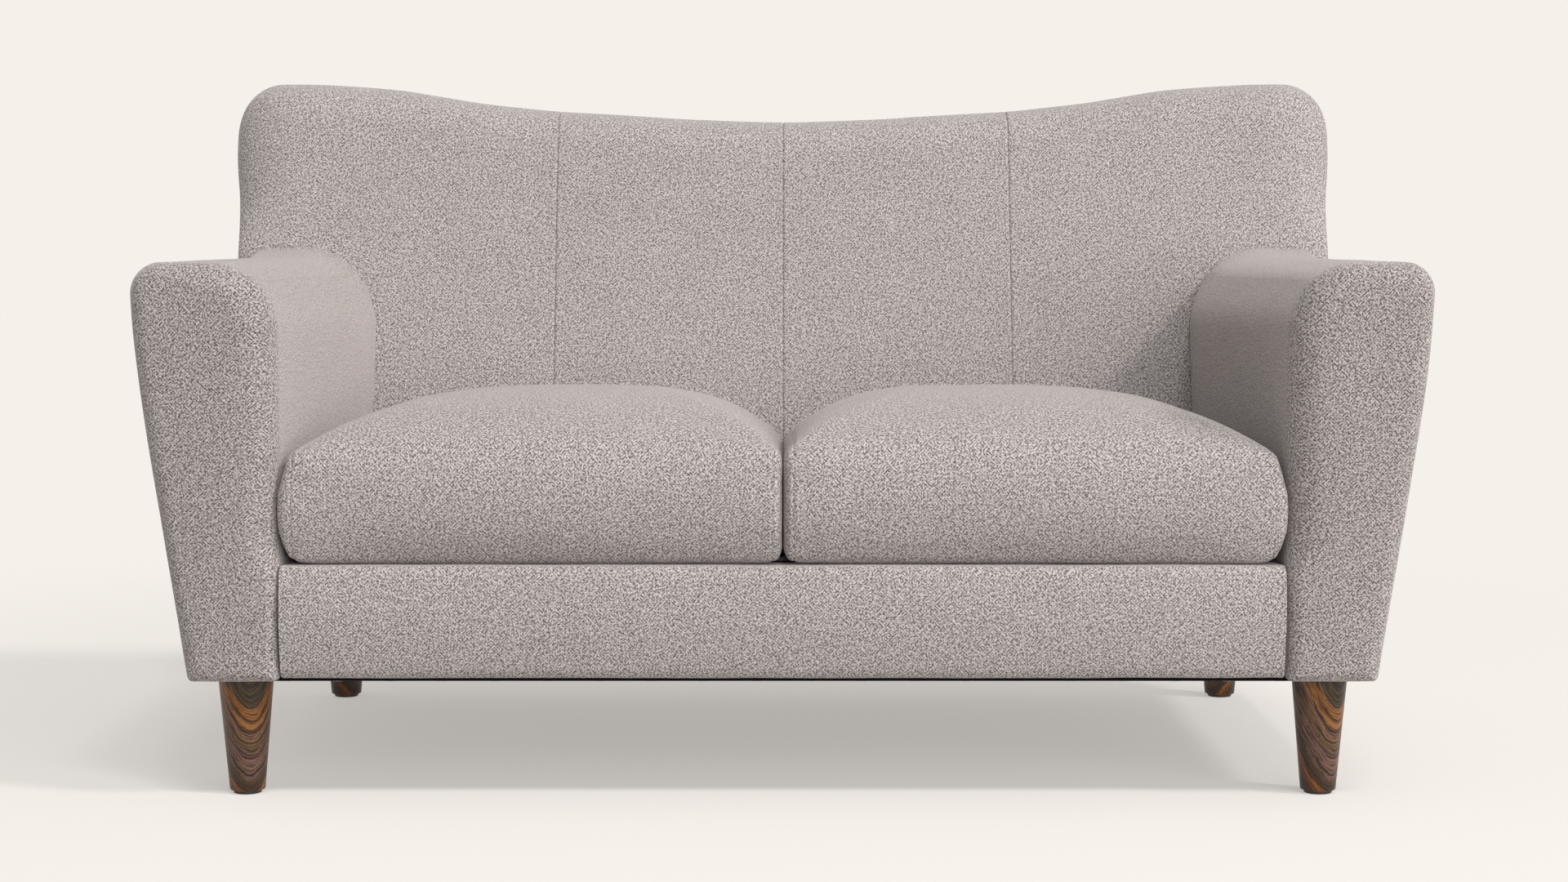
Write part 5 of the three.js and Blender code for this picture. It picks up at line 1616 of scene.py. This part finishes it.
@dataclass(frozen=True)
class DustCoverStaples:
    """The staples that hold the dust cover: flat wire crowns in a row round its edge."""

    crown: float = 12.0
    wire: tuple[float, float] = (1.3, 0.5)
    edge_distance: float = 9.0
    spacing: float = 62.0
    lean: float = 0.16
    lean_size: float = 37.0
    sunk_share: float = 0.3
    bevel: float = 0.15

    def places(self) -> list[tuple[float, float, float]]:
        """X, Y and turn, in radians, of each staple."""
        low, high = cad_box("dust_cover")
        width, depth = high.x - low.x - 2 * self.edge_distance, high.y - low.y - 2 * self.edge_distance
        middle = (low + high) / 2
        found = []
        for length, other, turn in ((width, depth, 0.0), (depth, width, math.pi / 2)):
            count = round(length / self.spacing)
            for k in range(count):
                along = (k + 0.5) / count * length - length / 2
                for way in (-1, 1):
                    x, y = (along, way * other / 2) if turn == 0 else (way * other / 2, along)
                    lean = self.lean * noise.noise(Vector((x, y, 0)) / self.lean_size)
                    found.append((middle.x + x, middle.y + y, turn + lean))
        return found

    def build(self) -> bpy.types.Object:
        """Makes all the staples as one piece."""
        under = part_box("dust_cover")[0].z
        bm = bmesh.new()
        for x, y, turn in self.places():
            made = bmesh.ops.create_cube(bm, size=1)["verts"]
            size = Vector((self.crown, self.wire[0], self.wire[1])) * METRES
            bmesh.ops.scale(bm, vec=size, verts=made)
            bmesh.ops.rotate(bm, verts=made, matrix=Matrix.Rotation(turn, 3, "Z"))
            place = Vector((x * METRES, y * METRES, under - size.z * self.sunk_share))
            bmesh.ops.translate(bm, vec=place, verts=made)
        bmesh.ops.bevel(bm, geom=bm.edges, offset=self.bevel * METRES, affect="EDGES", segments=1, profile=0.5,
                        material=-1)
        staples = piece_from("dust_cover_staples", bm, FINISHES.steel, "frame")
        return staples


# The hidden frame


class HiddenFrame:
    """The CAD nodes that stay as they are and only get their materials."""

    UPRIGHT = ("front_board", "side_board", "centre_back_board")
    BACK_TO_FRONT = ("arm_top_rail", "arm_bottom_rail", "side_seat_rail", "centre_seat_rail", "leg_block")

    def finish_of(self, node: str) -> Finish | None:
        """The finish of a node that is carried over, or None."""
        if any(word in node for word in self.UPRIGHT):
            return FINISHES.timber_upright
        if any(word in node for word in self.BACK_TO_FRONT):
            return FINISHES.timber_back_to_front
        if node.endswith(("_rail", "_batten")):
            return FINISHES.timber_across
        if node.endswith(("_springs", "_bolt")):
            return FINISHES.steel
        if node.endswith("_slider"):
            return FINISHES.zip_metal
        return None

    def dress(self) -> None:
        """Gives each carried-over node its material."""
        for name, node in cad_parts.items():
            finish = self.finish_of(name)
            if node.hide_render or finish is None:
                continue
            node.data.materials.clear()
            node.data.materials.append(finish.material())
            LOG.info("%s: %s", name, finish.name)


# Stage, lights and camera


@dataclass(frozen=True)
class Stage:
    """The pale floor and background, the soft lights and the camera."""

    paper: str = "#f5f0ea"
    floor_half: float = 120.0
    bounce: str = "#b9b6b2"
    shadow_lift: float = 0.46
    even_from: float = 1.3
    even_to: float = 2.5
    sky: float = 0.4
    keys: tuple[tuple[float, float, float, float], ...] = (
        (0.06, 0.42, 0.11, 8), (0.22, 0.42, 0.15, 8), (1.0, 0.42, 0.375, 10))
    soft_box: tuple[float, float, float] = (3.44, -5.97, 1.2)
    soft_box_size: float = 5.8
    soft_box_share: float = 0.62
    soft_box_aim: tuple[float, float, float] = (0.0, 0.0, 0.4)
    camera_place: tuple[float, float, float] = (0.0015, -3.875, 0.7124)
    camera_tilt: float = 4.583
    sensor_width: float = 36.0
    lens: float = 66.657
    clip_end: float = 400.0

    def seen(self, tree: bpy.types.NodeTree) -> bpy.types.NodeSocket:
        """1 where the camera sees a place itself, in gloss or through glass, and 0 where it only lights others."""
        path = add_node(tree, "ShaderNodeLightPath")
        found = path.outputs["Is Camera Ray"]
        for ray in ("Is Glossy Ray", "Is Transmission Ray"):
            found = add_node(tree, "ShaderNodeMath", {0: found, 1: path.outputs[ray]}, operation="MAXIMUM").outputs[0]
        return found

    def lay_floor(self) -> None:
        """Lays a wide plain floor whose shadow is lifted for the camera, and which lights the sofa only a little."""
        bm = bmesh.new()
        bmesh.ops.create_grid(bm, x_segments=1, y_segments=1, size=self.floor_half)
        mesh = bpy.data.meshes.new("floor")
        bm.to_mesh(mesh)
        bm.free()
        floor = bpy.data.objects.new("floor", mesh)
        bpy.context.scene.collection.objects.link(floor)
        made = bpy.data.materials.new("pale_paper_floor")
        made.use_nodes = True
        tree = made.node_tree
        tree.nodes.clear()
        ray = self.seen(tree)
        place = add_node(tree, "ShaderNodeTexCoord").outputs["Object"]
        reach = add_node(tree, "ShaderNodeVectorMath", {0: place}, operation="LENGTH").outputs["Value"]
        evenness = add_node(tree, "ShaderNodeMapRange", {
            "Value": reach, 1: self.even_from, 2: self.even_to, 3: self.shadow_lift, 4: 1.0},
            interpolation_type="SMOOTHSTEP").outputs[0]
        lift = add_node(tree, "ShaderNodeMath", {0: ray, 1: evenness}, operation="MULTIPLY").outputs[0]
        colour = add_node(tree, "ShaderNodeMix", {0: ray, 6: linear(self.bounce), 7: linear(self.paper)},
                          data_type="RGBA").outputs[2]
        diffuse = add_node(tree, "ShaderNodeBsdfDiffuse", {"Color": colour}).outputs[0]
        glow = add_node(tree, "ShaderNodeEmission", {"Color": linear(self.paper)}).outputs[0]
        mixed = add_node(tree, "ShaderNodeMixShader", {0: lift, 1: diffuse, 2: glow}).outputs[0]
        add_node(tree, "ShaderNodeOutputMaterial", {"Surface": mixed})
        mesh.materials.append(made)

    def light_world(self) -> None:
        """Shows the backdrop's colour to the camera, gloss and glass, and lights the rest evenly."""
        world = bpy.data.worlds.new("studio")
        bpy.context.scene.world = world
        world.use_nodes = True
        tree = world.node_tree
        tree.nodes.clear()
        paper = add_node(tree, "ShaderNodeBackground", {"Color": linear(self.paper)}).outputs[0]
        sky = add_node(tree, "ShaderNodeBackground", {"Color": (1, 1, 1, 1), "Strength": self.sky}).outputs[0]
        mixed = add_node(tree, "ShaderNodeMixShader", {0: self.seen(tree), 1: sky, 2: paper}).outputs[0]
        add_node(tree, "ShaderNodeOutputWorld", {"Surface": mixed})

    def hang_lamp(self, name: str, towards: Vector, share: float, spread: float) -> None:
        """Adds one wide, distant lamp.

        Args:
            name: The lamp's name.
            towards: The direction from the sofa to the lamp.
            share: How brightly it lights a surface that faces it, where 1 shows a colour as written.
            spread: How wide the lamp looks, in degrees.
        """
        lamp = bpy.data.lights.new(name, "SUN")
        lamp.energy = share * math.pi
        lamp.angle = math.radians(spread)
        placed = bpy.data.objects.new(name, lamp)
        placed.rotation_euler = towards.to_track_quat("Z", "Y").to_euler()
        bpy.context.scene.collection.objects.link(placed)

    def hang_soft_box(self) -> None:
        """Stands one large soft box in front, to the right, near enough that the sofa's right is a little brighter."""
        lamp = bpy.data.lights.new("soft_box", "AREA")
        lamp.shape = "SQUARE"
        lamp.size = self.soft_box_size
        place = Vector(self.soft_box)
        reach = place.length_squared + self.soft_box_size**2 / math.pi
        lamp.energy = self.soft_box_share * math.pi**2 * reach
        placed = bpy.data.objects.new("soft_box", lamp)
        placed.location = place
        placed.rotation_euler = (place - Vector(self.soft_box_aim)).to_track_quat("Z", "Y").to_euler()
        placed.visible_camera = False
        bpy.context.scene.collection.objects.link(placed)

    def set_lights(self) -> None:
        """A row of distant lamps up to the right, and the soft box."""
        for i, (right, forward, share, spread) in enumerate(self.keys):
            self.hang_lamp(f"key_{i}", Vector((right, -forward, 1)), share, spread)
        self.hang_soft_box()

    def set_camera(self) -> None:
        """Stands the camera where the photograph was taken from."""
        camera = bpy.data.cameras.new("camera")
        camera.sensor_width, camera.lens, camera.clip_end = self.sensor_width, self.lens, self.clip_end
        placed = bpy.data.objects.new("camera", camera)
        placed.location = self.camera_place
        placed.rotation_euler = Euler((math.radians(90 - self.camera_tilt), 0, 0))
        bpy.context.scene.collection.objects.link(placed)
        bpy.context.scene.camera = placed

    def build(self) -> None:
        """Builds the whole stage."""
        bpy.context.scene.view_settings.view_transform = "Standard"
        self.lay_floor()
        self.light_world()
        self.set_lights()
        self.set_camera()


@dataclass(frozen=True)
class Sofa:
    """The sofa's sub-assemblies, in the order in which they are built."""

    grain_turns: tuple[float, float, float, float] = (-20.0, -38.0, -60.0, 50.0)

    def build(self) -> None:
        """Builds every piece and dresses the frame."""
        for side in Side:
            Arm(side).build()
            SeatCushion(side).build()
        Back().build()
        RearPanel().build()
        FrontRail().build()
        places = [(side, is_front) for is_front in (True, False) for side in Side]
        for (side, is_front), turn in zip(places, self.grain_turns):
            Leg(side, is_front, grain_turn=turn).build()
        StretchedCloth("seat_deck_sheet", "seat_deck_cloth", FINISHES.deck_cloth, Slot.DECK_CLOTH, 1.4).build()
        StretchedCloth("seat_deck_felt_pad", "seat_deck_felt", FINISHES.felt, Slot.FELT, 8.6, is_pad=True).build()
        StretchedCloth("dust_cover_sheet", "dust_cover", FINISHES.dust_cloth, Slot.DUST_CLOTH, 1.0).build()
        for level in ("lower", "upper"):
            Webbing(level).build()
        for side in Side:
            ZipTape(side).build()
        DustCoverStaples().build()
        HiddenFrame().dress()


def main() -> None:
    """Builds the sofa and its stage."""
    logging.basicConfig(level=logging.INFO, format="%(name)s %(message)s")
    Stage().build()
    Sofa().build()
    bpy.context.view_layer.update()


if __name__ == "__main__":
    main()
